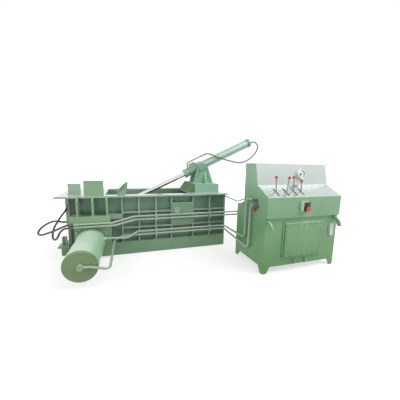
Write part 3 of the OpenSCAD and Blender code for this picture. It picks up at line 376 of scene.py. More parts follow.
rod_side = [
    tuple(PORT), (PORT.x + PORT_LEAD, PORT.y, PORT.z),
    (RIB_XS[0] + 0.073, RUN_Y - 0.065, PORT.z - 0.022), (RIB_XS[1] - 0.015, RUN_Y, SIDE_RUN_HEIGHTS[0]),
] + console_end(0)
cap_side = [
    (SIDE_X + 0.052, CAP_PIPE_Y, RAM_Z), (SIDE_X + 0.092, CAP_PIPE_Y, RAM_Z),
    (FEED_X - 0.009, CAP_PIPE_Y, RAM_Z - 0.047), (FEED_X + 0.006, RUN_Y - 0.045, RAM_Z),
    (RIB_XS[0] + 0.020, RUN_Y, SIDE_RUN_HEIGHTS[1]),
] + console_end(1)
pipes.append(lay_pipes("side_pipes", [rod_side, cap_side], PIPE_D, PIPE_BEND, "root"))

# %% Thin lines
LINE_PLACE = (-0.360, 0.790)
LINE_START = RIGHT_END + 0.018
LINE_TURN = RIGHT_END + 0.062
LINE_GAP_Y = TANK_Y1 + 0.070
LINE_ENTRY = (along_unit(0.117), TANK_H + 0.044)
lid_line = [
    (LINE_START, *LINE_PLACE), (LINE_TURN, *LINE_PLACE),
    (LINE_TURN, LINE_GAP_Y, LINE_PLACE[1] - 0.015),
    (LINE_ENTRY[0], LINE_GAP_Y, LINE_ENTRY[1]), (LINE_ENTRY[0], CONSOLE_Y1, LINE_ENTRY[1]),
]
pipes.append(lay_pipes("lid_line", [lid_line], LINE_D, LINE_BEND, "root"))

TUBE_START = -0.200
TUBE_FOOT = 0.084
TUBE_BEND = 0.060
lid_tube = [(TUBE_END, *TUBE_PLACE), (TUBE_START, *TUBE_PLACE), (TUBE_START, TUBE_PLACE[0], TUBE_FOOT)]
lid_tube = [lid_cylinder @ Vector(p) for p in lid_tube]
pipes.append(lay_pipes("lid_tube", [lid_tube], LINE_D, TUBE_BEND, "lid_cylinder"))

# %% [markdown]
# ## Weld beads
# The press box is welded from thick plate, and a bead runs along both sides of every rib. A
# bead is a row of small frozen ripples. Each one is a thin tube whose radius swells and sinks
# every few millimetres, sunk halfway into the corner between the two plates.

# %% Weld beads of the press box
WALL_Y = 0.390
RIB_Y = 0.480
RIB_T = 0.020
RIM_Z = 0.835
BASE_H = 0.187
UPPER_RIB_Z = 0.625
HINGE_RIB_Z = 0.735
LOWER_RIB_Z = 0.405
HINGE_BAY = 3
BEAD_R = 0.005
BEAD_SIDES = 6
RIPPLE = 0.009
RIPPLE_SINK = 0.78
UNEVEN = 0.08
UNEVEN_STEP = 1.7


def bead(bm, start, end):
    """Adds a rippled weld bead from start to end."""
    start, end = Vector(start), Vector(end)
    length = (end - start).length
    count = max(4, int(length / RIPPLE * 2))
    matrix = axis_matrix(start, end - start)
    rings = []
    for i in range(count + 1):
        swell = (1.0 if i % 2 else RIPPLE_SINK) * (1 + UNEVEN * math.sin(i * UNEVEN_STEP))
        rings.append(add_ring(bm, matrix, BEAD_R * swell, length / count * i, BEAD_SIDES))
    for low, high in zip(rings, rings[1:]):
        join_rings(bm, low, high)
    bm.faces.new(rings[0])
    bm.faces.new(rings[-1])


def wall_beads(side):
    """Beads along the ribs of one long wall; side is -1 for the front and 1 for the rear."""
    bm = bmesh.new()
    root_y = side * WALL_Y
    for x in RIB_XS:
        for edge in (x, x + RIB_T):
            if edge < RIGHT_END:
                bead(bm, (edge, root_y, BASE_H), (edge, root_y, RIM_Z))
    for i, (x0, x1) in enumerate(zip(RIB_XS, RIB_XS[1:])):
        for top in ((HINGE_RIB_Z if i == HINGE_BAY else UPPER_RIB_Z), LOWER_RIB_Z):
            for z in (top, top - RIB_T):
                bead(bm, (x0 + RIB_T, root_y, z), (x1, root_y, z))
        bead(bm, (x0 + RIB_T, root_y, RIM_Z), (x1, root_y, RIM_Z))
    return bm


beads = []
for side, label in ((-1, "front"), (1, "rear")):
    obj = new_mesh(f"{label}_wall_beads", wall_beads(side))
    beads.append(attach(obj, "root"))
    print(obj.name, len(obj.data.polygons), "faces")

# %% Weld beads of the stand and the side beam
STAND_TOP = 0.998
STAND_Y = 0.343
STAND_X0 = 0.631
STAND_X1 = 1.137
BOX_H = 0.860
PLATE_FEET = (0.765, 1.108)
PLATE_YS = (0.125, 0.150)
BEAM_Z1 = 0.605
GUSSET_XS = (-0.925, -0.743, -0.570)
GUSSET_T = 0.024
GUSSET_YS = (-0.585, -0.395)

bm = bmesh.new()
for side in (-1, 1):
    for y in PLATE_YS:
        bead(bm, (PLATE_FEET[0], side * y, STAND_TOP), (PLATE_FEET[1], side * y, STAND_TOP))
    bead(bm, (STAND_X0, side * STAND_Y, BOX_H), (STAND_X1, side * STAND_Y, BOX_H))
bead(bm, (STAND_X1, -STAND_Y, BOX_H), (STAND_X1, STAND_Y, BOX_H))
for x in GUSSET_XS:
    for edge in (x - GUSSET_T / 2, x + GUSSET_T / 2):
        bead(bm, (edge, GUSSET_YS[0], BEAM_Z1), (edge, GUSSET_YS[1], BEAM_Z1))
obj = new_mesh("stand_and_beam_beads", bm)
beads.append(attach(obj, "root"))
print(obj.name, len(obj.data.polygons), "faces")

# %% [markdown]
# A thin near-black plate fills the slot in the front gate post: painted shade, a dark sheet where
# the slot is in shadow. It stands between the face of the post and the edge of the gate.

# %% Slot plate of the gate post
SLOT_X = (-1.049, -0.972)
SLOT_Y = (-0.376, -0.370)
SLOT_Z = (BASE_H, RIM_Z - 0.020)

bm = bmesh.new()
middle = Vector([(low + high) / 2 for low, high in (SLOT_X, SLOT_Y, SLOT_Z)])
spans = [high - low for low, high in (SLOT_X, SLOT_Y, SLOT_Z)]
plate = Matrix.Translation(middle) @ Matrix.Diagonal((*spans, 1))
bmesh.ops.create_cube(bm, size=1.0, matrix=plate)
slot_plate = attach(new_mesh("gate_slot_plate", bm, smooth=False), "root")
print(slot_plate.name, "is", [round(span, 3) for span in spans], "m")

# %% [markdown]
# ## Pressure gauge
# The dial is sunk in a case on the leaning back panel. Its scale is a ring of plain ticks over
# 270 degrees, with a longer one at every fifth. Small raised bars make the ticks, so they stay
# sharp in any view, and a shallow dome of clear glass closes the case.

# %% Gauge dial
KINK = Vector((0.0, -1.354, 1.072))
BACK_TOP = Vector((0.0, -1.287, 1.336))
DIAL_PLACE = (0.594, 0.503)
DIAL_R = 0.0565
DIAL_DEPTH = 0.022
DIAL_T = 0.0006
SPINDLE_R = 0.004
ROUND_COUNT = 64

panel_up = (BACK_TOP - KINK).normalized()
panel_out = Vector((0, -panel_up.z, panel_up.y))
dial_middle = KINK + (BACK_TOP - KINK) * DIAL_PLACE[1] + Vector((along_unit(DIAL_PLACE[0]), 0, 0))
dial_turn = Matrix((Vector((1, 0, 0)), panel_up, panel_out)).transposed().to_4x4()
dial = Matrix.Translation(dial_middle) @ dial_turn

bm = bmesh.new()
face_profile = [(0.0, SPINDLE_R), (DIAL_T, SPINDLE_R), (DIAL_T, DIAL_R), (0.0, DIAL_R)]
turn_profile(bm, face_profile, dial @ Matrix.Translation((0, 0, DIAL_DEPTH)), ROUND_COUNT)
dial_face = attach(new_mesh("gauge_dial_face", bm, smooth=False), "root")
print("dial middle at", [round(c, 3) for c in dial_middle])

# %% Gauge ticks
TICK_COUNT = 41
SCALE_START = math.radians(225)
SCALE_SWEEP = math.radians(270)
LONG_EVERY = 5
LONG_TICK = (0.74, 0.0007)
SHORT_TICK = (0.84, 0.0004)
TICK_END = 0.93
TICK_LIFT = 0.0005
TICK_T = 0.0004
BAR_FACES = ((0, 2, 3, 1), (4, 5, 7, 6), (0, 1, 5, 4), (2, 6, 7, 3), (0, 4, 6, 2), (1, 3, 7, 5))


def add_bar(bm, matrix, xs, ys, zs):
    """Adds a small block with the given spans."""
    places = [(x, y, z) for z in zs for y in ys for x in xs]
    corners = [bm.verts.new(matrix @ Vector(place)) for place in places]
    for face in BAR_FACES:
        bm.faces.new([corners[i] for i in face])


bm = bmesh.new()
for i in range(TICK_COUNT):
    angle = SCALE_START - SCALE_SWEEP * i / (TICK_COUNT - 1)
    share, half = SHORT_TICK if i % LONG_EVERY else LONG_TICK
    place = dial @ Matrix.Translation((0, 0, DIAL_DEPTH + TICK_LIFT)) @ Matrix.Rotation(angle, 4, "Z")
    add_bar(bm, place, (DIAL_R * share, DIAL_R * TICK_END), (-half, half), (0, TICK_T))
dial_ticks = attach(new_mesh("gauge_dial_ticks", bm, smooth=False), "root")
print("gauge:", TICK_COUNT, "ticks")

# %% Gauge rim and glass
CASE_DEPTH = 0.034
RIM_PROFILE = [
    (-0.004, 0.0566), (-0.0005, 0.0566), (0.0025, 0.0585), (0.0025, 0.0612), (0.0, 0.0632),
    (-0.012, 0.0632), (-0.012, 0.0626), (-0.0002, 0.0624), (-0.0002, 0.0590),
]
GLASS_R = 0.056
GLASS_SINK = 0.004
GLASS_RISE = 0.0035
GLASS_T = 0.0012
GLASS_MIDDLE_R = 0.0004
GLASS_STEPS = 6
GLASS_COUNT = 48

bm = bmesh.new()
turn_profile(bm, [(CASE_DEPTH + height, radius) for height, radius in RIM_PROFILE], dial, ROUND_COUNT)
gauge_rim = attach(new_mesh("gauge_rim", bm), "root")

bm = bmesh.new()
slopes = [math.radians(90) * k / GLASS_STEPS for k in range(GLASS_STEPS + 1)]
dome = [(CASE_DEPTH - GLASS_SINK + GLASS_RISE * math.cos(t), GLASS_R * math.sin(t)) for t in slopes]
dome[0] = (dome[0][0], GLASS_MIDDLE_R)
under = [(height - GLASS_T, radius) for height, radius in reversed(dome)]
turn_profile(bm, dome + under, dial, GLASS_COUNT)
gauge_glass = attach(new_mesh("gauge_glass", bm), "root")
print("gauge rim and glass made")

# %% [markdown]
# ## Softened edges
# Plate edges are never knife sharp: they are ground or rolled over, and the enamel pools on
# them. A Weld modifier joins the points that the file format split, and a Bevel modifier takes
# a few millimetres off each sharp edge, so that every edge catches a thin line of light.

# %% Softened edges, widths in millimetres
WELD_DISTANCE = 1e-5
SHARP_ANGLE = math.radians(35)
EDGE_WIDTHS = {
    "base_frame": 4, "front_wall": 2.5, "rear_wall": 2.5, "right_end_wall": 2, "top_rim": 4, "gate_frame": 3,
    "left_cover": 3, "ram_deck": 3, "side_beam": 4, "front_guard": 2, "left_guard": 1.5, "guide_horn": 2,
    "access_cover": 1.5, "stand_base": 5, "stand_plates": 3, "trunnion_caps": 2, "side_barrel": 3,
    "side_flange": 4, "flange_bolts": 1.5, "main_barrel": 3, "gate_barrel": 2, "pipe_fittings": 2,
    "tank": 2, "tank_legs": 1.5, "hatch_cover": 2.5, "hatch_bolts": 1, "level_gauge": 3, "drain_plugs": 1.5,
    "tank_caps": 4, "console": 2, "lever_panel": 1, "valve_block": 2, "gauge_case": 1, "button_box": 4,
    "pump_motor": 3, "oil_pump": 3, "lid": 3, "lid_barrel": 2, "lid_gland": 3, "lid_end_cap": 3,
    "lid_valve_block": 2.5, "lid_rod": 2, "side_ram": 4, "main_ram": 4, "gate": 4, "lid_hinge_pin": 2,
    "lever_1": 1, "lever_2": 1, "lever_3": 1, "lever_4": 1, "start_button": 2, "stop_button": 3,
}


def soften(node, width):
    """Takes a small bevel off the sharp edges of a solid."""
    obj = nodes[node]
    weld = obj.modifiers.new("weld", "WELD")
    weld.merge_threshold = WELD_DISTANCE
    bevel = obj.modifiers.new("edge", "BEVEL")
    bevel.width = width / 1000
    bevel.segments = 2
    bevel.limit_method = "ANGLE"
    bevel.angle_limit = SHARP_ANGLE
    bevel.use_clamp_overlap = True
    bevel.harden_normals = True


for node, width in EDGE_WIDTHS.items():
    soften(node, width)
print(len(EDGE_WIDTHS), "solids with softened edges")

# %% [markdown]
# ## Shared surface effects
# Several finishes need the same things: slow changes of tone, dust on faces that look up (on a few
# finishes a painted highlight instead), runs down upright faces, chips, and fine grain. Each is a
# node group with named sockets, built once and placed in a material with its own values. Object
# coordinates are in metres here, so a scale of 10 gives marks about a tenth of a metre across.

# %% Node group helpers
FLOAT, COLOUR = "NodeSocketFloat", "NodeSocketColor"
GREY = (0.5, 0.5, 0.5, 1)
COLOUR_AND_MASK = [("Colour", COLOUR), ("Mask", FLOAT)]


def start_group(name, inputs, outputs):
    """A new node group with its sockets, and its node tree's input and output nodes."""
    group = bpy.data.node_groups.new(name, "ShaderNodeTree")
    for label, kind, value in inputs:
        made = group.interface.new_socket(name=label, in_out="INPUT", socket_type=kind)
        made.default_value = value
    for label, kind in outputs:
        group.interface.new_socket(name=label, in_out="OUTPUT", socket_type=kind)
    return group, group.nodes.new("NodeGroupInput"), group.nodes.new("NodeGroupOutput")


def feed(tree, slot, value):
    """Links a socket to a slot, or sets the slot to a number or a colour."""
    if isinstance(value, bpy.types.NodeSocket):
        tree.links.new(value, slot)
    else:
        slot.default_value = value if isinstance(value, (int, float)) else (*value, 1)


def math_node(tree, operation, a, b=None, clamp=False):
    """A Math node fed by sockets or numbers."""
    made = tree.nodes.new("ShaderNodeMath")
    made.operation = operation
    made.use_clamp = clamp
    feed(tree, made.inputs[0], a)
    if b is not None:
        feed(tree, made.inputs[1], b)
    return made.outputs[0]


def product(tree, first, *others):
    """Several values multiplied."""
    for other in others:
        first = math_node(tree, "MULTIPLY", first, other)
    return first


def ramp(tree, value, low, high, to_low=0.0, to_high=1.0):
    """Maps a value from one range to another, clamped."""
    made = tree.nodes.new("ShaderNodeMapRange")
    feed(tree, made.inputs["Value"], value)
    for name, number in (("From Min", low), ("From Max", high), ("To Min", to_low), ("To Max", to_high)):
        feed(tree, made.inputs[name], number)
    return made.outputs["Result"]


# %% Node helpers for patterns and places
def noise(tree, scale, detail=4.0, stretch=(1, 1, 1), rough=0.55):
    """Noise over the object's own coordinates, stretched along an axis if asked."""
    place = tree.nodes.new("ShaderNodeTexCoord")
    mapping = tree.nodes.new("ShaderNodeMapping")
    mapping.inputs["Scale"].default_value = stretch
    made = tree.nodes.new("ShaderNodeTexNoise")
    for name, value in (("Scale", scale), ("Detail", detail), ("Roughness", rough)):
        feed(tree, made.inputs[name], value)
    tree.links.new(place.outputs["Object"], mapping.inputs["Vector"])
    tree.links.new(mapping.outputs["Vector"], made.inputs["Vector"])
    return made.outputs["Fac"]


def mix_colour(tree, factor, a, b):
    """A colour Mix node fed by sockets or colours."""
    made = tree.nodes.new("ShaderNodeMix")
    made.data_type = "RGBA"
    for slot, value in ((made.inputs["Factor"], factor), (made.inputs[6], a), (made.inputs[7], b)):
        feed(tree, slot, value)
    return made.outputs[2]


def upward(tree):
    """The upward part of the surface normal."""
    geometry = tree.nodes.new("ShaderNodeNewGeometry")
    split = tree.nodes.new("ShaderNodeSeparateXYZ")
    tree.links.new(geometry.outputs["Normal"], split.inputs[0])
    return split.outputs["Z"]


def distance_from(tree, middle):
    """Distance of each point of the object from a place, in metres."""
    place = tree.nodes.new("ShaderNodeTexCoord")
    away = tree.nodes.new("ShaderNodeVectorMath")
    away.operation = "DISTANCE"
    away.inputs[1].default_value = middle
    tree.links.new(place.outputs["Object"], away.inputs[0])
    return away.outputs["Value"]


def lay_over(group, gin, gout, layer, mask):
    """Lays the colour named layer over the group's colour, and gives out the mix and its mask."""
    mixed = mix_colour(group, mask, gin.outputs["Colour"], gin.outputs[layer])
    group.links.new(mixed, gout.inputs["Colour"])
    group.links.new(mask, gout.inputs["Mask"])


# %% Slow tone and fine grain
NOISE_SPAN = (0.3, 0.7)

tone, gin, gout = start_group(
    "slow_tone", [("Colour", COLOUR, GREY), ("Scale", FLOAT, 3.0), ("Amount", FLOAT, 0.2)],
    COLOUR_AND_MASK,
)
cloud = noise(tone, gin.outputs["Scale"], 5)
lift = product(tone, ramp(tone, cloud, *NOISE_SPAN, -1.0, 1.0), gin.outputs["Amount"])
shade = tone.nodes.new("ShaderNodeVectorMath")
shade.operation = "SCALE"
tone.links.new(gin.outputs["Colour"], shade.inputs[0])
tone.links.new(math_node(tone, "ADD", lift, 1.0), shade.inputs["Scale"])
tone.links.new(shade.outputs[0], gout.inputs["Colour"])
tone.links.new(cloud, gout.inputs["Mask"])

grain, gin, gout = start_group(
    "fine_grain", [("Scale", FLOAT, 300.0), ("Low", FLOAT, 0.3), ("High", FLOAT, 0.5)],
    [("Value", FLOAT), ("Height", FLOAT)],
)
fine = noise(grain, gin.outputs["Scale"], 3)
value = ramp(grain, fine, *NOISE_SPAN, gin.outputs["Low"], gin.outputs["High"])
grain.links.new(value, gout.inputs["Value"])
grain.links.new(fine, gout.inputs["Height"])
print("node groups:", [g.name for g in bpy.data.node_groups])

# %% Settled dust and painted highlight on faces that look up
FACING_UP = (0.55, 0.98)
DUST_PATCH = (9.0, 6)
DUST_SPAN = (0.35, 0.75)

dust_and_sheen_group, gin, gout = start_group(
    "settled_dust_and_sheen",
    [
        ("Colour", COLOUR, GREY), ("Dust", COLOUR, (0.55, 0.53, 0.47, 1)),
        ("Amount", FLOAT, 0.3), ("Even", FLOAT, 0.0),
    ],
    COLOUR_AND_MASK,
)
flat = ramp(dust_and_sheen_group, upward(dust_and_sheen_group), *FACING_UP)
patchy = ramp(dust_and_sheen_group, noise(dust_and_sheen_group, *DUST_PATCH), *DUST_SPAN)
patchy = math_node(dust_and_sheen_group, "MAXIMUM", patchy, gin.outputs["Even"])
lay_over(dust_and_sheen_group, gin, gout, "Dust", product(dust_and_sheen_group, flat, patchy, gin.outputs["Amount"]))
print("node groups:", [g.name for g in bpy.data.node_groups])

# %% Upright runs
UPRIGHT = (0.3, 0.7)
STREAK = (22.0, 5, (1, 1, 0.06))
STREAK_SPAN = (0.56, 0.78)
RUN_PATCH = (2.2, 3)
RUN_SPAN = (0.42, 0.66)

runs, gin, gout = start_group(
    "upright_runs",
    [("Colour", COLOUR, GREY), ("Stain", COLOUR, (0.20, 0.16, 0.10, 1)), ("Amount", FLOAT, 0.3)],
    COLOUR_AND_MASK,
)
upright = ramp(runs, math_node(runs, "ABSOLUTE", upward(runs)), *UPRIGHT, 1.0, 0.0)
streak = ramp(runs, noise(runs, *STREAK), *STREAK_SPAN)
patch = ramp(runs, noise(runs, *RUN_PATCH), *RUN_SPAN)
lay_over(runs, gin, gout, "Stain", product(runs, upright, streak, patch, gin.outputs["Amount"]))
print("node groups:", [g.name for g in bpy.data.node_groups])

# %% Paint chips
CHIP_DETAIL = (7, (1, 1, 1), 0.65)
CHIP_PATCH = (2.7, 3)
CHIP_SPAN = (0.46, 0.70)
CHIP_LEVELS = (0.74, 0.52)
CHIP_EDGE = 0.02

chips, gin, gout = start_group(
    "paint_chips",
    [
        ("Colour", COLOUR, GREY), ("Bare", COLOUR, (0.16, 0.13, 0.11, 1)),
        ("Amount", FLOAT, 0.5), ("Scale", FLOAT, 38.0),
    ],
    COLOUR_AND_MASK,
)
fleck = noise(chips, gin.outputs["Scale"], *CHIP_DETAIL)
area = ramp(chips, noise(chips, *CHIP_PATCH), *CHIP_SPAN)
threshold = ramp(chips, product(chips, area, gin.outputs["Amount"]), 0.0, 1.0, *CHIP_LEVELS)
chip = ramp(chips, math_node(chips, "SUBTRACT", fleck, threshold), 0.0, CHIP_EDGE)
lay_over(chips, gin, gout, "Bare", chip)
print("node groups:", [g.name for g in bpy.data.node_groups])

# %% [markdown]
# ## Finishes
# Every finish starts from one Principled shader. A small helper places a group in the material
# and sets its values, so each finish reads as a short recipe from the base colour outward.

# %% Finish helpers
def new_finish(name):
    """A material with a Principled shader; returns the material, its tree and the shader."""
    mat = bpy.data.materials.new(name)
    mat.use_nodes = True
    tree = mat.node_tree
    return mat, tree, tree.nodes["Principled BSDF"]


def use(tree, group, **values):
    """Places a group; values are colours, numbers or sockets by input name."""
    made = tree.nodes.new("ShaderNodeGroup")
    made.node_tree = group
    for name, value in values.items():
        feed(tree, made.inputs[name], value)
    return made


def bump(tree, shader, height, strength, distance):
    """Feeds a height into the shader's normal."""
    made = tree.nodes.new("ShaderNodeBump")
    made.inputs["Strength"].default_value = strength
    made.inputs["Distance"].default_value = distance
    tree.links.new(height, made.inputs["Height"])
    tree.links.new(made.outputs["Normal"], shader.inputs["Normal"])


def place_mask(tree, axis, low, high, stop=None):
    """Runs from 0 at low to 1 at high along an axis; stop, a further ramp, is taken off again."""
    place = tree.nodes.new("ShaderNodeTexCoord")
    split = tree.nodes.new("ShaderNodeSeparateXYZ")
    tree.links.new(place.outputs["Object"], split.inputs[0])
    mask = ramp(tree, split.outputs[axis], low, high)
    if stop:
        mask = math_node(tree, "SUBTRACT", mask, ramp(tree, split.outputs[axis], *stop), True)
    return mask


# %% [markdown]
# Workshop enamel is brushed or sprayed on in one thick coat. It has a slightly wavy gloss, goes
# chalky where dust lies, and lets dark runs and chips through. On the side barrel, the top rim and
# the hatch cover, the same upward layer is a painted highlight instead of dust. The same recipe in
# several tones covers plates, cylinders and pipes. Some pieces show two tones, split at a place along
# one axis; on several of them the second tone is painted light or shade, as on the pale rib edges
# (painted highlight) and the dark face of a cap (painted shade).

# %% Enamel
DUST = (0.52, 0.54, 0.44)
ENAMEL_TONE = {"Scale": 2.6, "Amount": 0.10}
ENAMEL_GRAIN = 60.0
DUST_AND_SHEEN_DULLS = 0.5
CHIP_DULLS = 0.3
SKIN_LIFT = 0.35
ENAMEL_BUMP = (0.25, 0.0012)
ENAMEL_IOR = 1.5
COAT_ROUGH = 0.10


def enamel(
    name, colour, gloss=(0.24, 0.40), wear=0.35, dust_and_sheen=0.35, streaks=0.35, coat=0.25,
    dust_and_sheen_tone=DUST, even=0.0, second=None,
):
    """Worn gloss enamel; second is a colour and the place_mask values of where it lies."""
    mat, tree, shader = new_finish(name)
    if second:
        colour = mix_colour(tree, place_mask(tree, *second[1:]), colour, second[0])
    base = use(tree, tone, Colour=colour, **ENAMEL_TONE)
    run = use(tree, runs, Colour=base.outputs["Colour"], Amount=streaks)
    chipped = use(tree, chips, Colour=run.outputs["Colour"], Amount=wear)
    # The upward layer is settled dust; with a pale tone and Even set high it is a painted highlight.
    upward_layer = use(tree, dust_and_sheen_group, Colour=chipped.outputs["Colour"], Dust=dust_and_sheen_tone, Amount=dust_and_sheen, Even=even)
    tree.links.new(upward_layer.outputs["Colour"], shader.inputs["Base Color"])
    skin = use(tree, grain, Scale=ENAMEL_GRAIN, Low=gloss[0], High=gloss[1])
    dull = product(tree, upward_layer.outputs["Mask"], DUST_AND_SHEEN_DULLS)
    rough = math_node(tree, "ADD", skin.outputs["Value"], dull, True)
    dull = product(tree, chipped.outputs["Mask"], CHIP_DULLS)
    tree.links.new(math_node(tree, "ADD", rough, dull, True), shader.inputs["Roughness"])
    lifted = product(tree, skin.outputs["Height"], SKIN_LIFT)
    bump(tree, shader, math_node(tree, "SUBTRACT", lifted, chipped.outputs["Mask"]), *ENAMEL_BUMP)
    shader.inputs["IOR"].default_value = ENAMEL_IOR
    shader.inputs["Coat Weight"].default_value = coat
    shader.inputs["Coat Roughness"].default_value = COAT_ROUGH
    return mat


# %% Enamels of the press box and the stand
BOX_GREEN = (0.190, 0.338, 0.244)
STAND_FOLD = STAND_X0 + 0.095
FOLD_BLUR = 0.002

finishes = {
    "enamel": enamel("green_enamel", (0.230, 0.395, 0.230)),
    "cool_enamel": enamel(
        "green_enamel_cool", (0.240, 0.425, 0.310), gloss=(0.14, 0.24), streaks=0.2, coat=0.6),
    # A darker copy of the green for the ram deck and the gate inside the box: painted shade.
    "shaded_enamel": enamel("green_enamel_shaded", (0.120, 0.200, 0.130), wear=0.6, streaks=0.7),
    "box_enamel": enamel("green_enamel_press_box", BOX_GREEN, wear=0.45, streaks=0.45),
    # The raised ring of the access cover is painted paler: a painted highlight.
    "cover_enamel": enamel(
        "green_enamel_cover", (0.185, 0.325, 0.190), wear=0.3, streaks=0.3,
        second=((0.380, 0.500, 0.380), "Y", -RIB_Y - 0.012, -RIB_Y - 0.014)),
    # Near-black enamel for the plate in the gate post slot: painted shade.
    "slot_shade": enamel(
        "slot_shade_plate", (0.075, 0.088, 0.066), gloss=(0.30, 0.50), wear=0.6, dust_and_sheen=0.1, streaks=0.5),
    # The slope of the stand base, from its end to the fold, is painted dark olive: painted shade.
    "stand_enamel": enamel(
        "green_enamel_stand", (0.300, 0.495, 0.380), gloss=(0.60, 0.75), wear=0.1, dust_and_sheen=0.0,
        streaks=0.0, coat=0.0,
        second=((0.085, 0.185, 0.060), "X", STAND_FOLD + FOLD_BLUR, STAND_FOLD - FOLD_BLUR)),
    # The front faces of the ribs are painted paler: a painted highlight on the rib edges.
    "wall_enamel": enamel(
        "green_enamel_ribbed_wall", BOX_GREEN, wear=0.45, streaks=0.45,
        second=((0.300, 0.420, 0.330), "Y", -RIB_Y + 0.006, -RIB_Y + 0.001)),
    "base_enamel": enamel(
        "green_enamel_base", (0.200, 0.350, 0.208), wear=0.45, streaks=0.45,
        second=((0.480, 0.520, 0.480), "Z", BASE_H + 0.0005, BASE_H + 0.0020)),
}
print("enamels:", list(finishes))

# %% Enamels of the power unit, the pipes and the side cylinder
# The cabinet green runs from dark near the floor to pale at the top: painted shade low, painted light high.
CABINET_LOW = (0.130, 0.320, 0.115)
CABINET_HIGH = (0.300, 0.500, 0.340)
CABINET = {
    "gloss": (0.30, 0.42), "wear": 0.10, "streaks": 0.12, "coat": 0.1,
    "second": (CABINET_HIGH, "Z", 0.10, 1.30),
}
# BOSS takes part of the painted shade off again on the boss of the cap face.
BOSS = (CAP_Y - 0.002, CAP_Y - 0.004, 0.0, 0.45)

finishes |= {
    "cabinet_enamel": enamel("green_enamel_cabinet", CABINET_LOW, dust_and_sheen=0.2, **CABINET),
    # On the hatch cover the pale upward layer is a painted highlight along its top edge, not dust.
    "hatch_enamel": enamel(
        "green_enamel_hatch", CABINET_LOW, dust_and_sheen=0.9, dust_and_sheen_tone=(0.66, 0.78, 0.66), even=1.0, **CABINET),
    # Paler green; on the flange bolts it is a painted highlight.
    "pale_enamel": enamel(
        "green_enamel_pale", (0.330, 0.460, 0.340), gloss=(0.18, 0.30), wear=0.2, streaks=0.2),
    "pipe_enamel": enamel(
        "pipe_enamel", (0.370, 0.470, 0.360), gloss=(0.16, 0.26), wear=0.2, streaks=0.1, coat=0.6),
    "fitting_enamel": enamel(
        "pipe_enamel_fittings", (0.330, 0.460, 0.340), gloss=(0.18, 0.30), wear=0.2, streaks=0.2,
        second=((0.150, 0.180, 0.155), "X", RIGHT_END - 0.10, RIGHT_END - 0.08)),
    # On the side barrel the pale even upward layer is a painted highlight along its top, and the second tone
    # paints the cap face dark olive as painted shade.
    "barrel_enamel": enamel(
        "green_enamel_barrel", (0.380, 0.600, 0.390), gloss=(0.16, 0.28), wear=0.15, dust_and_sheen=0.70,
        streaks=0.1, coat=0.6, dust_and_sheen_tone=(0.60, 0.63, 0.57), even=0.7,
        second=((0.155, 0.265, 0.100), "Y", CAP_Y + 0.017, CAP_Y + 0.013, BOSS)),
    # On the top rim the near-white upward layer is a painted reflection of the sky, not dust.
    "rim_enamel": enamel(
        "green_enamel_rim", (0.300, 0.420, 0.320), gloss=(0.12, 0.24), wear=0.3, dust_and_sheen=0.9,
        streaks=0.3, coat=1.0, dust_and_sheen_tone=(0.80, 0.83, 0.78), even=0.5),
}
print(len(finishes), "enamels")

# %% [markdown]
# The metals differ mainly in roughness and grain. Rods are ground and plated, so they are
# nearly mirrors. The lever panel is pale sheet with faint drawn lines. Its slope is rubbed
# bright by hands, so the levers mirror in it. Cast and forged pieces are dark and mottled.

# %% Metals
METAL_TONE = 6.0
METAL_GRAIN_DEPTH = 0.0006


def metal(name, colour, rough, scale, strength, uneven=0.10):
    """Bare metal of one colour with a roughness range and fine grain."""
    mat, tree, shader = new_finish(name)
    base = use(tree, tone, Colour=colour, Scale=METAL_TONE, Amount=uneven)
    tree.links.new(base.outputs["Colour"], shader.inputs["Base Color"])
    skin = use(tree, grain, Scale=scale, Low=rough[0], High=rough[1])
    tree.links.new(skin.outputs["Value"], shader.inputs["Roughness"])
    bump(tree, shader, skin.outputs["Height"], strength, METAL_GRAIN_DEPTH)
    shader.inputs["Metallic"].default_value = 1.0
    return mat


finishes |= {
    "plated": metal("plated_rod", (0.72, 0.73, 0.74), (0.10, 0.20), 240.0, 0.04, 0.05),
    "zinc": metal("zinc_fittings", (0.62, 0.63, 0.62), (0.28, 0.45), 160.0, 0.12),
    "iron": metal("oily_iron", (0.17, 0.17, 0.17), (0.35, 0.60), 70.0, 0.30, 0.25),
    "ram_steel": metal("scuffed_ram_steel", (0.36, 0.34, 0.32), (0.30, 0.55), 45.0, 0.25, 0.25),
}
print("metals made")

# %% Lever panel
PANEL_TONE = (0.56, 0.63, 0.59)
RUBBED_TONE = (0.48, 0.55, 0.52)
DRAWN_LINES = (90.0, 4, (0.03, 1, 1))
DRAWN_ROUGH = (0.22, 0.29)
RUBBED_POLISH = 0.06

mat, tree, shader = new_finish("polished_panel")
base = use(tree, tone, Colour=PANEL_TONE, Scale=1.6, Amount=0.06)
rubbed = use(tree, dust_and_sheen_group, Colour=base.outputs["Colour"], Dust=RUBBED_TONE, Amount=1.0, Even=1.0)
tree.links.new(rubbed.outputs["Colour"], shader.inputs["Base Color"])
drawn = ramp(tree, noise(tree, *DRAWN_LINES), *NOISE_SPAN, *DRAWN_ROUGH)
polish = product(tree, rubbed.outputs["Mask"], RUBBED_POLISH)
tree.links.new(math_node(tree, "SUBTRACT", drawn, polish, True), shader.inputs["Roughness"])
tree.links.new(rubbed.outputs["Mask"], shader.inputs["Metallic"])
finishes["panel"] = mat
print("lever panel finish made")

# %% [markdown]
# Rubber hose cover is matt and slightly dusty. The knobs and buttons are moulded plastic: a
# clear colour with a soft gloss and faint scratches. Glass and dial face finish the gauge.

# %% Rubber and plastic
MOULDED_TONE = {"Scale": 14.0, "Amount": 0.12}
MOULDED_DUST = 0.2
MOULDED_BUMP = (0.08, 0.0005)
PALE_PLASTIC = (0.70, 0.74, 0.72)
SWITCH_FACE = FRONT_Y - 0.051
FACE_BLUR = 0.0005


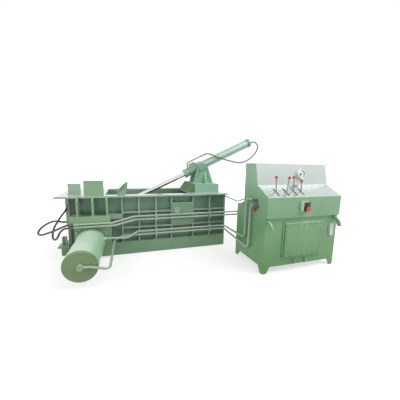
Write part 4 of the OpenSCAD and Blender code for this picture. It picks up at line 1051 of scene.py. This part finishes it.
def moulded(name, colour, rough, scale=220.0, coat=0.0, second=None):
    """Moulded plastic or rubber; second is a colour and the place_mask values of where it lies."""
    mat, tree, shader = new_finish(name)
    if second:
        colour = mix_colour(tree, place_mask(tree, *second[1:]), colour, second[0])
    base = use(tree, tone, Colour=colour, **MOULDED_TONE)
    upward_layer = use(tree, dust_and_sheen_group, Colour=base.outputs["Colour"], Amount=MOULDED_DUST)
    tree.links.new(upward_layer.outputs["Colour"], shader.inputs["Base Color"])
    skin = use(tree, grain, Scale=scale, Low=rough[0], High=rough[1])
    tree.links.new(skin.outputs["Value"], shader.inputs["Roughness"])
    bump(tree, shader, skin.outputs["Height"], *MOULDED_BUMP)
    shader.inputs["Coat Weight"].default_value = coat
    return mat


finishes |= {
    "rubber": moulded("hose_rubber", (0.055, 0.053, 0.056), (0.42, 0.60), 400.0),
    "red": moulded("red_plastic", (0.62, 0.035, 0.040), (0.22, 0.36), coat=0.3),
    "pale": moulded("pale_plastic", PALE_PLASTIC, (0.25, 0.40), coat=0.2),
    "switch": moulded(
        "switch_box_plastic", PALE_PLASTIC, (0.25, 0.40), coat=0.2,
        second=((0.060, 0.035, 0.032), "Y", SWITCH_FACE + FACE_BLUR, SWITCH_FACE - FACE_BLUR)),
    "dial": moulded("dial_white", (0.86, 0.87, 0.86), (0.45, 0.55)),
    "black": moulded("black_paint", (0.020, 0.020, 0.022), (0.35, 0.50)),
}
print("rubber and plastic made")

# %% Gauge glass
GLASS_IOR = 1.45

mat, tree, shader = new_finish("gauge_glass")
shader.inputs["Base Color"].default_value = (0.97, 0.98, 0.98, 1)
skin = use(tree, grain, Scale=40.0, Low=0.02, High=0.06)
tree.links.new(skin.outputs["Value"], shader.inputs["Roughness"])
shader.inputs["Transmission Weight"].default_value = 1.0
shader.inputs["IOR"].default_value = GLASS_IOR
finishes["glass"] = mat
print(len(finishes), "finishes")

# %% [markdown]
# ## Dressing the pieces
# Each solid takes the finish that the real piece has. The levers come last, because each of them
# is steel and plastic in one solid.

# %% Finish of each piece
PIECE_FINISH = {
    "enamel": ["side_beam", "front_guard", "guide_horn", "side_flange", "hatch_bolts", "drain_plugs"],
    "cabinet_enamel": ["tank", "tank_legs", "console"],
    "hatch_enamel": ["hatch_cover"],
    "stand_enamel": ["stand_base"],
    "cool_enamel": ["stand_plates", "trunnion_caps", "lid_barrel", "lid_gland", "lid_valve_block"],
    "box_enamel": ["rear_wall", "right_end_wall", "left_cover", "lid", "gate_frame", "lid_end_cap"],
    "cover_enamel": ["access_cover"],
    "wall_enamel": ["front_wall"],
    "base_enamel": ["base_frame"],
    "barrel_enamel": ["side_barrel"],
    "rim_enamel": ["top_rim"],
    "shaded_enamel": ["ram_deck", "gate"],
    "pale_enamel": ["left_guard", "gate_barrel", "flange_bolts"],
    "fitting_enamel": ["pipe_fittings"],
    "plated": ["lid_rod"],
    "iron": ["main_barrel", "valve_block", "pump_motor", "oil_pump", "lid_hinge_pin"],
    "ram_steel": ["side_ram", "main_ram"],
    "panel": ["lever_panel"],
    "red": ["tank_caps", "stop_button"],
    "pale": ["level_gauge", "gauge_case"],
    "switch": ["button_box"],
    "black": ["gauge_needle", "start_button"],
}


def dress(obj, finish):
    """Gives an object one finish, by its name."""
    obj.data.materials.clear()
    obj.data.materials.append(finishes[finish])


for finish, names in PIECE_FINISH.items():
    for name in names:
        dress(nodes[name], finish)
for obj, sleeves in hoses:
    dress(obj, "rubber")
    dress(sleeves, "iron")
for obj, finish in zip(pipes, ("pipe_enamel", "pipe_enamel", "iron", "iron")):
    dress(obj, finish)
for obj in beads:
    dress(obj, "box_enamel")
dress(slot_plate, "slot_shade")
dress(dial_face, "dial")
dress(dial_ticks, "black")
dress(gauge_rim, "zinc")
dress(gauge_glass, "glass")
print("dressed", sum(len(n) for n in PIECE_FINISH.values()), "solids")

# %% [markdown]
# A lever is a steel rod with a round red knob, made as one solid. Its finish is split where the
# knob begins, by the distance up from the pivot, which Object coordinates give in metres.

# %% Levers
LEVER_PIVOT = Vector((0.0, -1.495, 0.930))
LEVER_SHARES = (0.159, 0.285, 0.396, 0.492)
LEVER_L = 0.246
LEVER_CUTS = (0.0, 0.0, 0.0, 0.046)
KNOB_R = 0.018
KNOB_START = 0.93
KNOB_BLUR = 0.0005
LEVER_BUMP = (0.06, 0.0005)


def lever_finish(name, share, cut):
    """Dark steel up to the knob, red plastic above."""
    mat, tree, shader = new_finish(name)
    away = distance_from(tree, LEVER_PIVOT + Vector((along_unit(share), 0, 0)))
    knob_from = LEVER_L - cut - KNOB_R * KNOB_START
    knob = ramp(tree, away, knob_from - KNOB_BLUR, knob_from + KNOB_BLUR)
    steel = use(tree, tone, Colour=(0.22, 0.24, 0.24), Scale=20.0, Amount=0.15)
    red = use(tree, tone, Colour=(0.66, 0.035, 0.045), Scale=14.0, Amount=0.10)
    colour = mix_colour(tree, knob, steel.outputs["Colour"], red.outputs["Colour"])
    tree.links.new(colour, shader.inputs["Base Color"])
    tree.links.new(ramp(tree, knob, 0.0, 1.0, 1.0, 0.0), shader.inputs["Metallic"])
    skin = use(tree, grain, Scale=200.0, Low=0.20, High=0.36)
    tree.links.new(skin.outputs["Value"], shader.inputs["Roughness"])
    bump(tree, shader, skin.outputs["Height"], *LEVER_BUMP)
    return mat


for i, (share, cut) in enumerate(zip(LEVER_SHARES, LEVER_CUTS), 1):
    finishes[f"lever_{i}"] = lever_finish(f"lever_{i}_finish", share, cut)
    dress(nodes[f"lever_{i}"], f"lever_{i}")
print(len(LEVER_SHARES), "levers finished")

# %% [markdown]
# ## Floor and light
# The picture has a plain white surround. The world is white to the camera and in reflections,
# and gives a softer sky light to everything else. The pale floor keeps the shadow under the
# machine. A large soft lamp from the upper right shades the fronts gently, and a weaker one from
# the left fills them.

# %% World
SKY_TINT = (0.98, 1.0, 0.98, 1)
SKY_STRENGTH = 0.56


def direct_rays(tree):
    """The Light Path node, and a value that is 1 for rays from the camera and from mirrors."""
    path = tree.nodes.new("ShaderNodeLightPath")
    return path, math_node(tree, "MAXIMUM", path.outputs["Is Camera Ray"], path.outputs["Is Glossy Ray"])


world = bpy.data.worlds.new("plain_sky")
bpy.context.scene.world = world
world.use_nodes = True
tree = world.node_tree
sky = tree.nodes["Background"]
sky.inputs["Color"].default_value = SKY_TINT
sky.inputs["Strength"].default_value = SKY_STRENGTH
plain = tree.nodes.new("ShaderNodeBackground")
plain.inputs["Color"].default_value = (1, 1, 1, 1)
path, shown = direct_rays(tree)
shown = math_node(tree, "MAXIMUM", shown, path.outputs["Is Transmission Ray"])
choose = tree.nodes.new("ShaderNodeMixShader")
tree.links.new(shown, choose.inputs[0])
tree.links.new(sky.outputs[0], choose.inputs[1])
tree.links.new(plain.outputs[0], choose.inputs[2])
tree.links.new(choose.outputs[0], tree.nodes["World Output"].inputs["Surface"])
print("sky strength", SKY_STRENGTH)

# %% Floor
FLOOR_HALF = 60.0
FLOOR_DROP = 0.001
FLOOR_TONE = (0.45, 0.45, 0.44, 1)
FLOOR_ROUGH = 0.9
GLOW_MIDDLE = (0.4, -0.6, 0)
GLOW_RADII = (1.6, 4.5)
GLOW_LEVELS = (0.62, 1.0)

bm = bmesh.new()
bmesh.ops.create_grid(bm, x_segments=1, y_segments=1, size=FLOOR_HALF)
floor = new_mesh("floor", bm, smooth=False)
floor.location.z = -FLOOR_DROP
mat, tree, shader = new_finish("pale_floor")
shader.inputs["Base Color"].default_value = FLOOR_TONE
shader.inputs["Roughness"].default_value = FLOOR_ROUGH
shader.inputs["Specular IOR Level"].default_value = 0.0
shader.inputs["Emission Color"].default_value = (1, 1, 1, 1)
path, shown = direct_rays(tree)
white = ramp(tree, distance_from(tree, GLOW_MIDDLE), *GLOW_RADII, *GLOW_LEVELS)
tree.links.new(product(tree, shown, white), shader.inputs["Emission Strength"])
floor.data.materials.append(mat)
print("floor", 2 * FLOOR_HALF, "m wide")


# %% Lamps
def soft_lamp(name, place, target, size, power):
    """A large square lamp that looks at a point."""
    data = bpy.data.lights.new(name, "AREA")
    data.shape = "SQUARE"
    data.size = size
    data.energy = power
    obj = bpy.data.objects.new(name, data)
    obj.location = place
    obj.rotation_euler = (Vector(target) - Vector(place)).to_track_quat("-Z", "Y").to_euler()
    bpy.context.scene.collection.objects.link(obj)


MIDDLE = (0.3, -0.5, 0.5)
soft_lamp("sky_lamp", (4.6, -3.2, 5.8), MIDDLE, 6.0, 370)
soft_lamp("fill_lamp", (-6.0, -2.4, 3.8), MIDDLE, 5.0, 200)
print("lamps set")

# %% [markdown]
# ## Finish
# Colours are shown as written by the Standard view.

# %% Finish
bpy.context.scene.view_settings.view_transform = "Standard"
